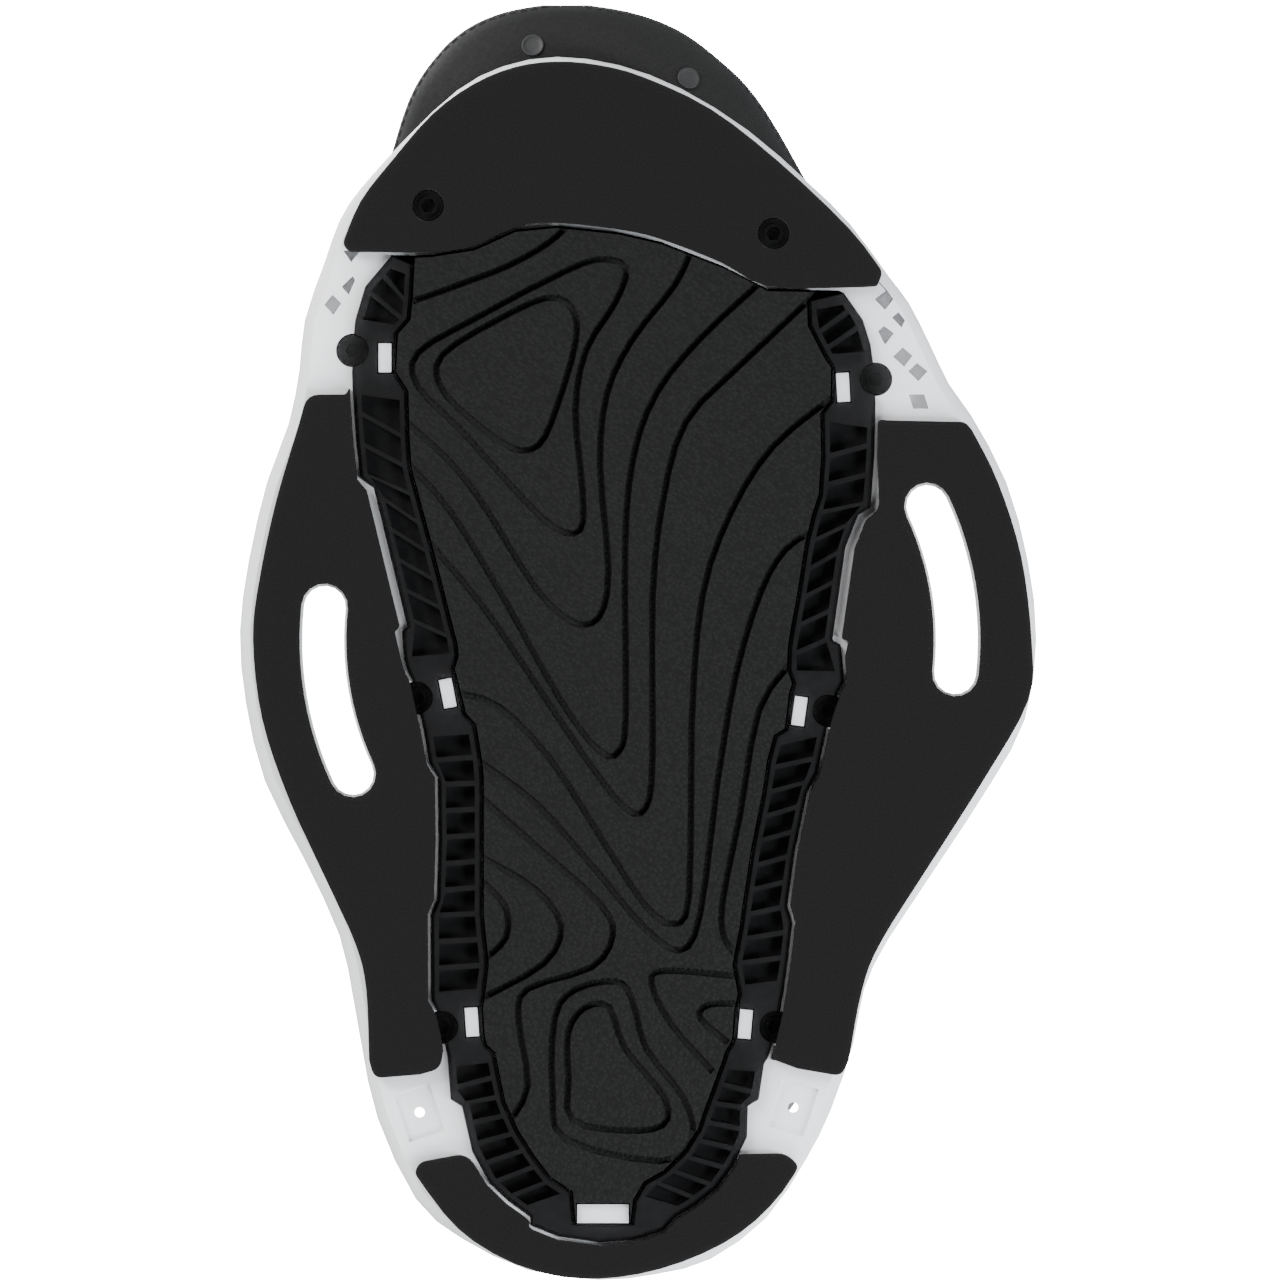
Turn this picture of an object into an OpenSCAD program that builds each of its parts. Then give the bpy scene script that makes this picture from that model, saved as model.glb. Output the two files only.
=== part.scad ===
// Wakeboard boot and binding chassis, left foot.
// The origin is the centre of the slot circle on the board's surface.
// +Z is up, the toe points along -Y, and -X is the big-toe side.

/* [Sole] */
// Radius of the circle that both mounting slots follow
slot_circle_r = 76.2; // [76:0.1:76.4]
// Width of a mounting slot in the chassis
slot_w = 10; // [8:0.1:11]
// Thickness of the foam pads under the chassis
pad_t = 3; // [2:0.1:3]
// Depth of the grooves in the outsole
groove_depth = 1.3; // [0.8:0.1:2]
// Width of the grooves in the outsole
groove_w = 1.6; // [1:0.1:1.8]
// Diameter of the screw heads
screw_head_d = 7.3; // [6.5:0.1:7.6]

/* [Boot] */
// Thickness of the outer shell
shell_t = 3; // [2.4:0.1:3.2]
// Thickness of the liner
liner_t = 6; // [5:0.1:6.5]
// Thickness of the tongue
tongue_t = 4; // [3:0.1:4.4]
// Diameter of the closure wire
wire_d = 1.4; // [1:0.1:1.5]

/* [Dial] */
// Diameter of the dial knob
knob_d = 30; // [28:0.5:31]
// How far the knob pulls out to let the wire go
knob_travel = 2.5; // [2:0.1:2.6]

/* [Hidden] */
$fn = 48;
eps = 0.01;

// Heights above the board
frame_z = pad_t;
bridge_top = 5;
flange_z = 7;
frame_top = 9;
cage_z = 0.8;
// Lower face of the lugs that stand in the cage's windows
lug_z = 1.2;
cage_pocket = 3.4;
midsole_z = frame_top + 0.2;
sole_top = 12.2;
screw_head_h = 1.9;
screw_z = pad_t + 0.15;
screw_shank_d = 4;
screw_tip_z = 11.4;
nut_z = midsole_z + 0.4;
clear = 0.3;

// ---- curves ----
function blend(a, b, c, d, t) = 0.5 * (2 * b + (c - a) * t + (2 * a - 5 * b + 4 * c - d) * t * t
    + (3 * b - a - 3 * c + d) * t * t * t);
function curve(p, n) = [
    for (i = [0 : len(p) - 2], k = [0 : n - 1])
        blend(p[max(i - 1, 0)], p[i], p[i + 1], p[min(i + 2, len(p) - 1)], k / n),
    p[len(p) - 1]
];
function loop_curve(p, n) = let (m = len(p)) [
    for (i = [0 : m - 1], k = [0 : n - 1])
        blend(p[(i + m - 1) % m], p[i], p[(i + 1) % m], p[(i + 2) % m], k / n)
];
function unit(v) = v / norm(v);
function left_of(v) = [-v[1], v[0]];
function reverse(p) = [for (i = [len(p) - 1 : -1 : 0]) p[i]];
function flat(lists) = [for (l = lists) for (p = l) p];
// Rounds the sharp corners of an outline with radius r, or as much as its sides have room for
function rounded(p, r) = let (m = len(p)) flat([
    for (i = [0 : m - 1])
        let (
            a = p[(i + m - 1) % m] - p[i],
            b = p[(i + 1) % m] - p[i],
            d = min(r, norm(a) / 2.1, norm(b) / 2.1)
        )
        unit(a) * unit(b) < -0.77
            ? [p[i]]
            : [for (t = [0 : 0.25 : 1]) p[i] + d * ((1 - t) * (1 - t) * unit(a) + t * t * unit(b))]
]);
function shift(p, v) = [for (q = p) q + v];
// Moves a closed outline sideways by d, to the left of its direction
function beside(p, d) = let (m = len(p)) [
    for (i = [0 : m - 1]) p[i] + d * left_of(unit(p[(i + 1) % m] - p[(i + m - 1) % m]))
];
// Moves an open line sideways by d
function line_beside(p, d) = let (m = len(p)) [
    for (i = [0 : m - 1]) p[i] + d * left_of(unit(p[min(i + 1, m - 1)] - p[max(i - 1, 0)]))
];

// ---- plan outlines, in mm, seen on the board's plane ----
frame_edge = loop_curve([
    [-67, -109], [-72.3, -101], [-75.9, -91], [-80.7, -77], [-82, -65], [-84.6, -52],
    [-89.8, -38], [-94.2, -19], [-96.3, -2], [-94.9, 15], [-90.3, 34], [-80.7, 53],
    [-72.4, 71], [-69.1, 86], [-67, 98], [-63.2, 115], [-54, 134.5], [-43, 144],
    [-27, 151.6], [-10, 154], [4, 152.6], [17, 149], [30.5, 139], [40, 125], [46, 113],
    [51.4, 97], [54, 84], [59.8, 72], [72.8, 52.5], [84.8, 34], [92.7, 19], [95.4, 0],
    [93.4, -19], [88.2, -38], [79.8, -54], [74.4, -61.6], [69.6, -71.6], [64.8, -81], [60, -87.4], [50.7, -100],
    [40.6, -110], [26, -122.6], [10, -132.6], [-5, -138.3], [-20, -140.3], [-33, -138],
    [-44, -132.2], [-56, -121]
], 2);
toe_front = curve([
    [-71.5, -95.2], [-67.2, -105.4], [-59.8, -115], [-50, -126.3], [-40, -133.6],
    [-30, -137.7], [-20, -139], [-9.6, -138.1], [1, -135.2], [17, -127.6],
    [33.3, -115], [50.2, -99], [58.4, -88.4]
], 3);
toe_back = curve([
    [57, -85], [50, -84.7], [30.6, -85], [20, -90.5], [5, -96.3], [-5, -98.6], [-20, -100.2],
    [-30, -99.2], [-39.7, -94.8], [-50, -93.2], [-61.6, -93.2], [-70, -93.2]
], 3);
medial_outer = curve([
    [-81.7, -52.8], [-87.4, -33.6], [-91.5, -14.4], [-93, 0], [-90.8, 19], [-84.3, 38.4],
    [-75.4, 57.6], [-68.4, 73], [-65.8, 84], [-65.1, 101]
], 4);
lateral_outer = curve([
    [79.8, -50.4], [86, -38], [91.6, -20.2], [94.1, 0], [93.3, 14.5], [82.6, 33.6],
    [70.4, 52.8], [58, 72.4], [53.4, 84], [50.2, 101]
], 4);
heel_outer = curve([
    [38.3, 126.4], [34.2, 132.7], [27.8, 139.5], [20, 145], [10, 149.5], [0, 152.3],
    [-10, 153.5], [-19.6, 152.9], [-30, 150], [-40, 144.5], [-47, 138], [-54.3, 128]
], 2);

// The cage is a rail of runs; each station is [outer x, outer y, inner x, inner y]
rail_front_medial = [
    [-59.8, -92.3, -54.5, -90], [-66, -85, -54.8, -83], [-68.4, -77, -55.4, -77],
    [-68.9, -72, -58.4, -73.6], [-69.2, -64, -58.9, -64.4]
];
rail_side_medial = [
    [-69.1, -61, -55.9, -59.7], [-68.2, -48, -55.7, -50], [-67.2, -38.8, -55.2, -41.5],
    [-64, -36.6, -54.4, -38.5], [-61.2, -25.5, -51.4, -27.5], [-58.4, -14, -48.3, -15.5],
    [-55.9, -3.2, -44.9, -2], [-57.2, -2, -44.2, 0.5], [-56.6, 5, -43.8, 3.7], [-55.6, 8, -44.8, 7]
];
rail_mid_medial = [[-54.8, 9.4, -44.3, 8.6], [-53.8, 14, -43.2, 13], [-52.6, 19, -42, 17.8]];
rail_rear_medial = [
    [-52, 21.6, -39.6, 20.4], [-50.6, 29.6, -38.2, 29], [-48.6, 33, -37.8, 33],
    [-48.4, 48, -37.8, 48], [-48.8, 62.5, -37.8, 62], [-50.3, 66, -37.8, 66],
    [-50.2, 77, -36.6, 78], [-50.2, 86.5, -37.6, 86]
];
rail_back_medial = [[-48.6, 89.4, -38, 88.6], [-47.2, 95, -37.6, 95], [-46.6, 98.6, -37, 97.4]];
rail_heel_medial = [
    [-46.2, 100.4, -35, 99.2], [-45.5, 110.4, -33.6, 106.4], [-42.8, 112, -32.6, 111],
    [-40.3, 123, -29.4, 118], [-36.2, 130.5, -25.6, 124], [-31.5, 135, -21.6, 129.2],
    [-26.4, 138.6, -16.4, 132.6]
];
rail_heel = [
    [-26.2, 140.8, -15.7, 140.2], [-19.6, 143.4, -12, 140.3], [-9.6, 144.8, -8.6, 140.4],
    [-1.4, 144.1, -5, 140.3], [5.6, 141.8, -2.1, 140.2]
];
rail_heel_lateral = [
    [8.2, 138.8, -1.4, 134.6], [13.4, 135.6, 1, 130.4], [18.4, 131.6, 5.8, 127.6],
    [22.6, 125.8, 10.8, 122.8], [25.7, 119.4, 14.2, 117.4], [25.9, 112, 15.8, 112.6],
    [28.5, 110.4, 17.4, 108.4], [29.8, 101.8, 20.2, 100.6]
];
rail_back_lateral = [[30.6, 100.6, 20.8, 98.8], [31.9, 97, 22.4, 96], [33.4, 90.8, 22.9, 89]];
rail_rear_lateral = [
    [34.6, 84, 23.8, 85], [35.6, 77, 22.5, 78], [36.6, 68, 24.2, 69], [35.4, 64, 25, 63],
    [37.2, 51, 27, 50], [40.2, 36.6, 29.6, 37], [42.6, 32, 30.8, 29], [44.8, 21.8, 32.4, 23]
];
rail_mid_lateral = [[45.2, 20, 35, 21.4], [46.4, 16, 35.6, 17], [47.8, 12.2, 36, 13]];
rail_side_lateral = [
    [49, 10.1, 36.8, 10.4], [48.6, 4, 35.6, 7], [48.2, 1.2, 35.8, 1.7], [46.2, 0, 36.2, -1],
    [47.6, -10, 38.2, -12], [49.4, -22.5, 39.8, -22.5], [52.4, -30, 41.6, -30],
    [55.4, -32, 43.2, -35], [56.3, -44, 43.8, -44], [56.5, -53, 43.6, -54.4]
];
rail_front_lateral = [
    [56.6, -57, 46, -57.6], [56.2, -65, 46.2, -65.4], [55.4, -71, 44.4, -68.2],
    [53.5, -77, 40.6, -75.5], [49, -83.4, 40.4, -81.4]
];
rail_runs = [
    rail_front_medial, rail_side_medial, rail_mid_medial, rail_rear_medial, rail_back_medial,
    rail_heel_medial, rail_heel, rail_heel_lateral, rail_back_lateral, rail_rear_lateral,
    rail_mid_lateral, rail_side_lateral, rail_front_lateral
];
function rail_outer(runs) = flat([for (r = runs) [for (s = r) [s[0], s[1]]]]);
function rail_inner(runs) = flat([for (r = runs) [for (s = r) [s[2], s[3]]]]);
cage_outer = rail_outer(rail_runs);
cage_inner = rail_inner(rail_runs);
sole_front = [
    [42, -84.2], [30.6, -84.4], [20, -89.9], [5, -95.7], [-5, -98], [-20, -99.6], [-30, -98.6],
    [-39.7, -94.2], [-50, -92.6], [-54, -92.4]
];
// Where the boot's own sole ends above the chassis's toe bridge
toe_sole = curve([
    [52, -80], [46, -93], [36, -106], [20, -121.5], [4, -131.4], [-8, -135.6], [-18, -136.8],
    [-28, -135.6], [-40, -130.6], [-50, -122], [-58, -110], [-63, -98], [-66.4, -82]
], 3);

// Screws: position and turn of the hex
toe_screw_at = [[-50.9, -104.4], [32.1, -97.7]];
cage_screw_at = [
    [-69, -69.6], [56.6, -62.7], [-53.6, 13.9], [45.2, 17], [-47.5, 93], [32.5, 93]
];
// Lugs of the chassis that show through the cage: [x, y, turn]
tab_at = [
    [-61.3, -67.8, 0], [48.8, -60.7, -3], [-46.2, 12.8, -11], [38.3, 17.1, 8],
    [-40.4, 91.8, -4], [25.3, 92.3, 5]
];
tab_w = 3.1;
tab_l = 7;
heel_tab = [[-15.1, 135.6], [-2.7, 140.1]];
// Angles along the slot circle between which the slots run
slot_spans = [[-25, 6], [155, 186]];
// Pockets of the chassis between the toe pad and the side pads
truss_pockets = [
    [[56.4, -81.9], [59.2, -84.1], [60.8, -82], [58.9, -79.4]],
    [[60.6, -77.5], [62.1, -78.8], [63.7, -76.9], [62.9, -75.1]],
    [[57.2, -74.2], [58.6, -75.5], [61, -73.7], [58.9, -71]],
    [[60.8, -68.1], [63.2, -70.3], [65.5, -68.3], [63.5, -65.7]],
    [[64.5, -64.6], [66.6, -66.6], [69.1, -64.6], [66.9, -62.2]],
    [[64.6, -59], [68.3, -59], [69.4, -55.6], [65.7, -55.6]],
    [[-71.3, -93.6], [-67.3, -93.6], [-69.4, -90.8]],
    [[-71.7, -84.9], [-69, -87.5], [-68.5, -86.4], [-70, -83]],
    [[-75.9, -80.6], [-73.9, -83], [-71.8, -80.9], [-73.7, -78.2]]
];
truss_roof = 1.4;
heel_hole_at = [[-53, 113.6], [36.8, 112.4]];
heel_hole_d = 2.5;

// ---- boot surface ----
// Stations from toe tip to cuff: [front y, z, back y, z, half width, centre x, heel ratio, squareness]
stations = [
    [-150.8, 28, -150.8, 22, 5, -18, 1, 2.2],
    [-149, 35, -149, 17.4, 15, -17.5, 1, 2.2],
    [-145.4, 42, -145.4, 14.6, 24, -16.6, 1, 2.5],
    [-139.5, 49, -139.5, 13, 31.6, -15.6, 1, 3],
    [-130, 55.5, -130, 12.4, 39.5, -13.8, 1, 4],
    [-114, 63, -114, 12.4, 47, -11.4, 1, 4],
    [-95, 71, -95, 12.4, 54, -9, 1, 4],
    [-68, 84, -68, 12.4, 58.5, -6.5, 1, 4],
    [-38, 99, -42, 12.4, 56, -5.8, 1, 4],
    [-14, 117, -10, 12.4, 51, -5, 1, 4],
    [1, 133, 26, 12.4, 47, -5, 0.96, 4],
    [7, 145, 66, 12.4, 45, -6.2, 0.88, 4],
    [9.5, 153, 98, 12.4, 44, -7.4, 0.8, 4],
    [10.5, 159, 123, 14, 43.4, -8, 0.74, 3.6],
    [11, 165, 136.5, 28, 43, -8.4, 0.74, 3],
    [11.5, 172, 141.5, 56, 44, -8.6, 0.8, 2.6],
    [12, 182, 139, 94, 46, -8.4, 0.9, 2.4],
    [11, 195, 133, 136, 49, -8, 1, 2.3],
    [9, 212, 133, 182, 52.5, -7.4, 1, 2.2],
    [6, 230, 138, 234, 56, -7, 1, 2.2],
    [3, 246, 142, 251, 58, -6.8, 1, 2.2]
];
cuff_s = 19;
top_squareness = 2.2;
function station(s) = let (i = min(floor(s), len(stations) - 2), t = s - i, n = len(stations) - 1)
    blend(stations[max(i - 1, 0)], stations[i], stations[i + 1], stations[min(i + 2, n)], t);
function sign_pow(v, e) = sign(v) * pow(abs(v), e);
// A point of the boot's surface at station s and angle a; 90 is the front, 270 the sole or back
function skin(s, a, inset = 0) = let (
    q = station(s),
    front = [q[0], q[1]],
    back = [q[2], q[3]],
    half = norm(front - back) / 2,
    up = (front - back) / (2 * half),
    n = sin(a) > 0 ? top_squareness : q[7],
    v = sign_pow(sin(a), 2 / n),
    t = min(1, 1 + v),
    ratio = q[6] + (1 - q[6]) * t * t * (3 - 2 * t),
    x = q[5] + (q[4] - inset) * ratio * sign_pow(cos(a), 2 / n),
    c = (front + back) / 2 + up * v * (half - inset)
) [x, c[0], c[1]];
function skin_normal(s, a) = let (
    ds = skin(min(s + 0.05, 20), a) - skin(max(s - 0.05, 0), a),
    da = skin(s, a + 1) - skin(s, a - 1)
) unit(cross(ds, da));
function lifted(s, a, h) = skin(s, a) + h * skin_normal(s, a);

// Half angle of the throat opening at station s
throat_s = 6.5;
function throat(s) = 14 + 12 * min(1, max(0, (s - throat_s) / 6));

// ---- grids of points made solid ----
// Faces of a closed slab between two grids with rows x cols points each
function grid_faces(rows, cols, offset_a, flip) = [
    for (i = [0 : rows - 2], j = [0 : cols - 2])
        let (p = offset_a + i * cols + j)
        each (flip
            ? [[p, p + cols, p + 1], [p + 1, p + cols, p + cols + 1]]
            : [[p, p + 1, p + cols], [p + 1, p + cols + 1, p + cols]])
];
function strip(a, b, flip) = [
    for (i = [0 : len(a) - 2])
        each (flip
            ? [[a[i], a[i + 1], b[i]], [a[i + 1], b[i + 1], b[i]]]
            : [[a[i], b[i], a[i + 1]], [a[i + 1], b[i], b[i + 1]]])
];
module slab(outer, inner) {
    rows = len(outer);
    cols = len(outer[0]);
    m = rows * cols;
    first = [for (j = [0 : cols - 1]) j];
    last = shift_index(first, (rows - 1) * cols);
    left = [for (i = [0 : rows - 1]) i * cols];
    right = shift_index(left, cols - 1);
    polyhedron(
        flat([flat(outer), flat(inner)]),
        flat([
            grid_faces(rows, cols, 0, false),
            grid_faces(rows, cols, m, true),
            strip(first, shift_index(first, m), false),
            strip(last, shift_index(last, m), true),
            strip(left, shift_index(left, m), true),
            strip(right, shift_index(right, m), false)
        ])
    );
}
function shift_index(list, d) = [for (i = list) i + d];

// Faces of a wall around a ring grid that closes on itself
function ring_faces(rows, cols, offset_a, flip) = [
    for (i = [0 : rows - 2], j = [0 : cols - 1])
        let (a = offset_a + i * cols + j, b = offset_a + i * cols + (j + 1) % cols)
        each (flip
            ? [[a, a + cols, b], [b, a + cols, b + cols]]
            : [[a, b, a + cols], [b, b + cols, a + cols]])
];
function ring(cols, d) = [for (j = [0 : cols - 1]) d + j];
// A solid tube wall; caps close the first rows of both surfaces, or a rim joins them
module wall(outer, inner, capped) {
    rows = len(outer);
    cols = len(outer[0]);
    m = rows * cols;
    loop = [for (j = [0 : cols]) j % cols];
    last = shift_index(loop, (rows - 1) * cols);
    polyhedron(
        flat([flat(outer), flat(inner)]),
        flat([
            ring_faces(rows, cols, 0, false),
            ring_faces(rows, cols, m, true),
            strip(last, shift_index(last, m), true),
            capped
                ? [reverse(ring(cols, 0)), ring(cols, m)]
                : strip(loop, shift_index(loop, m), false)
        ])
    );
}
// A solid rod through rings of points
module rod(rings) {
    rows = len(rings);
    cols = len(rings[0]);
    polyhedron(
        flat(rings),
        flat([
            ring_faces(rows, cols, 0, false),
            [reverse(ring(cols, 0)), ring(cols, (rows - 1) * cols)]
        ])
    );
}
function steps(a, b, n) = [for (i = [0 : n]) a + (b - a) * i / n];
// Part of the boot's surface between two stations and two angles, from lift h0 to lift h1
module patch(s0, s1, a0, a1, h0, h1, ns, na) {
    rows = steps(s0, s1, ns);
    angles = steps(min(a0, a1), max(a0, a1), na);
    slab(
        [for (s = rows) [for (a = angles) lifted(s, a, h1)]],
        [for (s = rows) [for (a = angles) lifted(s, a, h0)]]
    );
}
// Rings of radius r round a path of points; side_on is never parallel to the path
function path_rings(p, r, sides, side_on) = let (m = len(p)) [
    for (i = [0 : m - 1])
        let (
            d = unit(p[min(i + 1, m - 1)] - p[max(i - 1, 0)]),
            u = unit(cross(d, side_on)),
            v = cross(u, d)
        )
        [for (k = [0 : sides - 1]) p[i] + r * (cos(360 * k / sides) * u + sin(360 * k / sides) * v)]
];

// ---- sole ----
module plan(points, z0, z1) {
    translate([0, 0, z0]) linear_extrude(z1 - z0) polygon(points);
}
module post(at, d, z0, z1) {
    translate([at[0], at[1], z0]) cylinder(d = d, h = z1 - z0);
}
module slot(span, w, z0, z1) {
    arc = steps(span[0], span[1], 12);
    ends = steps(0, 180, 8);
    r_out = slot_circle_r + w / 2;
    r_in = slot_circle_r - w / 2;
    centre_a = slot_circle_r * [cos(span[0]), sin(span[0])];
    centre_b = slot_circle_r * [cos(span[1]), sin(span[1])];
    outline = flat([
        [for (a = arc) r_out * [cos(a), sin(a)]],
        [for (e = ends) centre_b + w / 2 * [cos(span[1] + e), sin(span[1] + e)]],
        [for (a = reverse(arc)) r_in * [cos(a), sin(a)]],
        [for (e = ends) centre_a + w / 2 * [cos(span[0] + 180 + e), sin(span[0] + 180 + e)]]
    ]);
    plan(outline, z0, z1);
}
module slots(w, z0, z1) {
    for (span = slot_spans) slot(span, w, z0, z1);
}
module tab(t, grow, z0, z1) {
    translate([t[0], t[1], (z0 + z1) / 2])
        rotate([0, 0, t[2]])
            cube([tab_w + 2 * grow, tab_l + 2 * grow, z1 - z0], center = true);
}

// Plate of the chassis, whose edge flares from its lower face out to its full outline: [z, inset]
edge_levels = [[frame_z - 1, 3.5], [frame_z + 1.4, 1.3], [frame_z + 3, 0.4], [frame_top - 1, 0], [frame_top + 1, 1.6]];
module plate() {
    intersection() {
        rod([for (l = edge_levels) [for (p = beside(frame_edge, -l[1])) [p[0], p[1], l[0]]]]);
        translate([-110, -160, frame_z]) cube([220, 330, frame_top - frame_z]);
    }
}
// Upright wall round the boot's sides and heel, cut to a swept height
wall_gap = 3.4;
wall_t = 3;
wall_line = [for (p = cage_outer) if (p[1] > -72) p];
module upright_wall() {
    side_view = curve([
        [-72, frame_top + 1], [-52, 13], [-25, 19], [5, 20], [45, 22], [80, 28], [108, 38],
        [130, 42], [156, 43]
    ], 4);
    intersection() {
        plan(
            flat([
                line_beside(wall_line, wall_gap + wall_t),
                reverse(line_beside(wall_line, wall_gap))
            ]),
            frame_top, 50
        );
        rotate([90, 0, 90])
            translate([0, 0, -100])
                linear_extrude(200)
                    polygon(concat(side_view, [[160, 43], [160, 0], [-72, 0]]));
    }
}
// Ribs that tie the upright wall to the wing below it: [y, reach], short beside the slots
ribs_medial = [[-34, 14], [-18, 14], [2, 5], [20, 5], [42, 12]];
ribs_lateral = [[-40, 14], [-22, 5], [-4, 5], [18, 14], [36, 12]];
rib_t = 2.2;
rib_h = 8;
module rib(x, y, reach, side) {
    hull() {
        translate([x, y, frame_top + rib_h / 2]) cube([2, rib_t, rib_h], center = true);
        translate([x + side * reach, y, frame_top + 0.8]) cube([2, rib_t, 1.6], center = true);
    }
}
module frame_wall() {
    color("white") upright_wall();
    color("white") for (r = ribs_medial) rib(wall_x(r[0], -1), r[0], r[1], -1);
    color("white") for (r = ribs_lateral) rib(wall_x(r[0], 1), r[0], r[1], 1);
}
// The rail's outer edge as [y, x], from toe to heel
edge_medial = [for (p = cage_outer) if (p[0] < 0 && p[1] < 100) [p[1], p[0]]];
edge_lateral = reverse([for (p = cage_outer) if (p[0] > 0 && p[1] < 100) [p[1], p[0]]]);
function wall_x(y, side) = lookup(y, side > 0 ? edge_lateral : edge_medial) + side * (wall_gap + wall_t / 2);

// Lugs that stand in the cage's windows, and the web that joins the one behind the heel
lug_top = frame_top - 0.6;
module lugs() {
    for (t = tab_at) tab(t, 0, lug_z, lug_top);
    heel_w = heel_tab[1][0] - heel_tab[0][0];
    translate([heel_tab[0][0], heel_tab[0][1], lug_z])
        cube([heel_w, heel_tab[1][1] - heel_tab[0][1], lug_top - lug_z]);
    translate([heel_tab[0][0] + 0.5, heel_tab[0][1] + 0.5, flange_z + 0.3])
        cube([heel_w - 1, 7, lug_top - flange_z - 0.3]);
}
module base_frame() {
    color("white") difference() {
        plate();
        plan(flat([cage_outer, [[47.8, -84]], sole_front, [[-60, -92.6]]]), 0, flange_z);
        plan(flat([cage_inner, sole_front]), 0, 60);
        plan(flat([toe_sole, [[-60, -70], [46, -70]]]), bridge_top, 60);
        slots(slot_w, 0, 60);
        for (h = truss_pockets) plan(h, 0, frame_top - truss_roof);
        for (s = toe_screw_at) post(s, screw_shank_d + 0.6, 0, 60);
        for (s = cage_screw_at) {
            post(s, screw_head_d + 0.8, 0, flange_z);
            post(s, screw_shank_d + 0.1, 0, 60);
        }
        for (h = heel_hole_at) post(h, heel_hole_d, 0, 60);
        for (h = heel_hole_at)
            translate([h[0], h[1], frame_z])
                rotate([0, 0, h[0] < 0 ? -18 : 18])
                    cube([9, 12, 2.4], center = true);
    }
    color("white") lugs();
}

module foam_pad(points, holes) {
    color("#222222") difference() {
        plan(rounded(points, 3), 0, pad_t);
        for (s = holes) post(s, 7.6, -1, pad_t + 1);
        slots(slot_w + 1.2, -1, pad_t + 1);
    }
}
module toe_pad() {
    foam_pad(flat([toe_front, toe_back]), toe_screw_at);
}
// Gap between the rail and a pad, wider where the rail steps inward beside the ball of the foot
pad_gap = 0.7;
waist_y = [-37, 1.5];
function rail_beside(runs, waist_gap) = let (
    line = rail_outer(runs),
    near = line_beside(line, pad_gap),
    far = line_beside(line, waist_gap)
) [for (i = [0 : len(line) - 1]) line[i][1] > waist_y[0] && line[i][1] < waist_y[1] ? far[i] : near[i]];
module side_pad_medial() {
    runs = [rail_side_medial, rail_mid_medial, rail_rear_medial, rail_back_medial];
    inner = [for (p = rail_beside(runs, 1.8)) if (p[1] < 103) p];
    foam_pad(flat([[[-70.5, -59], [-80, -59]], medial_outer, [[-63.9, 105.3], [-52.9, 104.4], [-48, 103]],
        reverse(inner)]), []);
}
module side_pad_lateral() {
    runs = [rail_back_lateral, rail_rear_lateral, rail_mid_lateral, rail_side_lateral];
    inner = [for (p = rail_beside(runs, 2.2)) if (p[1] < 101) p];
    foam_pad(flat([[[59.4, -52.8], [78.2, -52.4]], lateral_outer, [[48.4, 104.8], [37.9, 103], [32.6, 101]],
        inner]), []);
}
module heel_pad() {
    inner = [for (p = rail_beside([rail_heel_medial, rail_heel, rail_heel_lateral], pad_gap))
        if (p[1] > 124) p];
    foam_pad(flat([[[23.7, 123.5], [35.1, 123.3]], heel_outer,
        [[-52.9, 125.4], [-41.5, 123.3]], inner]), []);
}

// Grooves of the outsole, contour lines that follow the foot's pressure
closed_grooves = [
    [[-22.4, -82.2], [-16.4, -79.7], [-15.4, -72], [-20, -56], [-24.4, -46.8], [-31, -46.2],
     [-40.8, -53.2], [-48, -61], [-47.6, -68.4], [-35, -76.5]],
    [[-10.5, -91.4], [-3.4, -89.4], [-6, -81], [-13, -69.6], [-15.5, -55], [-13.8, -36],
     [-14.4, -26.4], [-20.6, -27], [-30, -36], [-42.6, -50], [-53.4, -61], [-53.4, -69],
     [-40, -77], [-22, -86.6]],
    [[-17.3, 94.3], [-13.4, 88.4], [-7.4, 88.2], [-3.7, 98], [5.9, 110], [5.4, 116.6],
     [-4, 117.8], [-16.4, 115.2], [-17.2, 105]],
    [[-20.5, 90.7], [-15.6, 84], [-6, 82], [-2, 86], [1.4, 98], [10.5, 110], [12.4, 119.6],
     [5, 125.2], [-17.8, 120], [-21, 109]]
];
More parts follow.
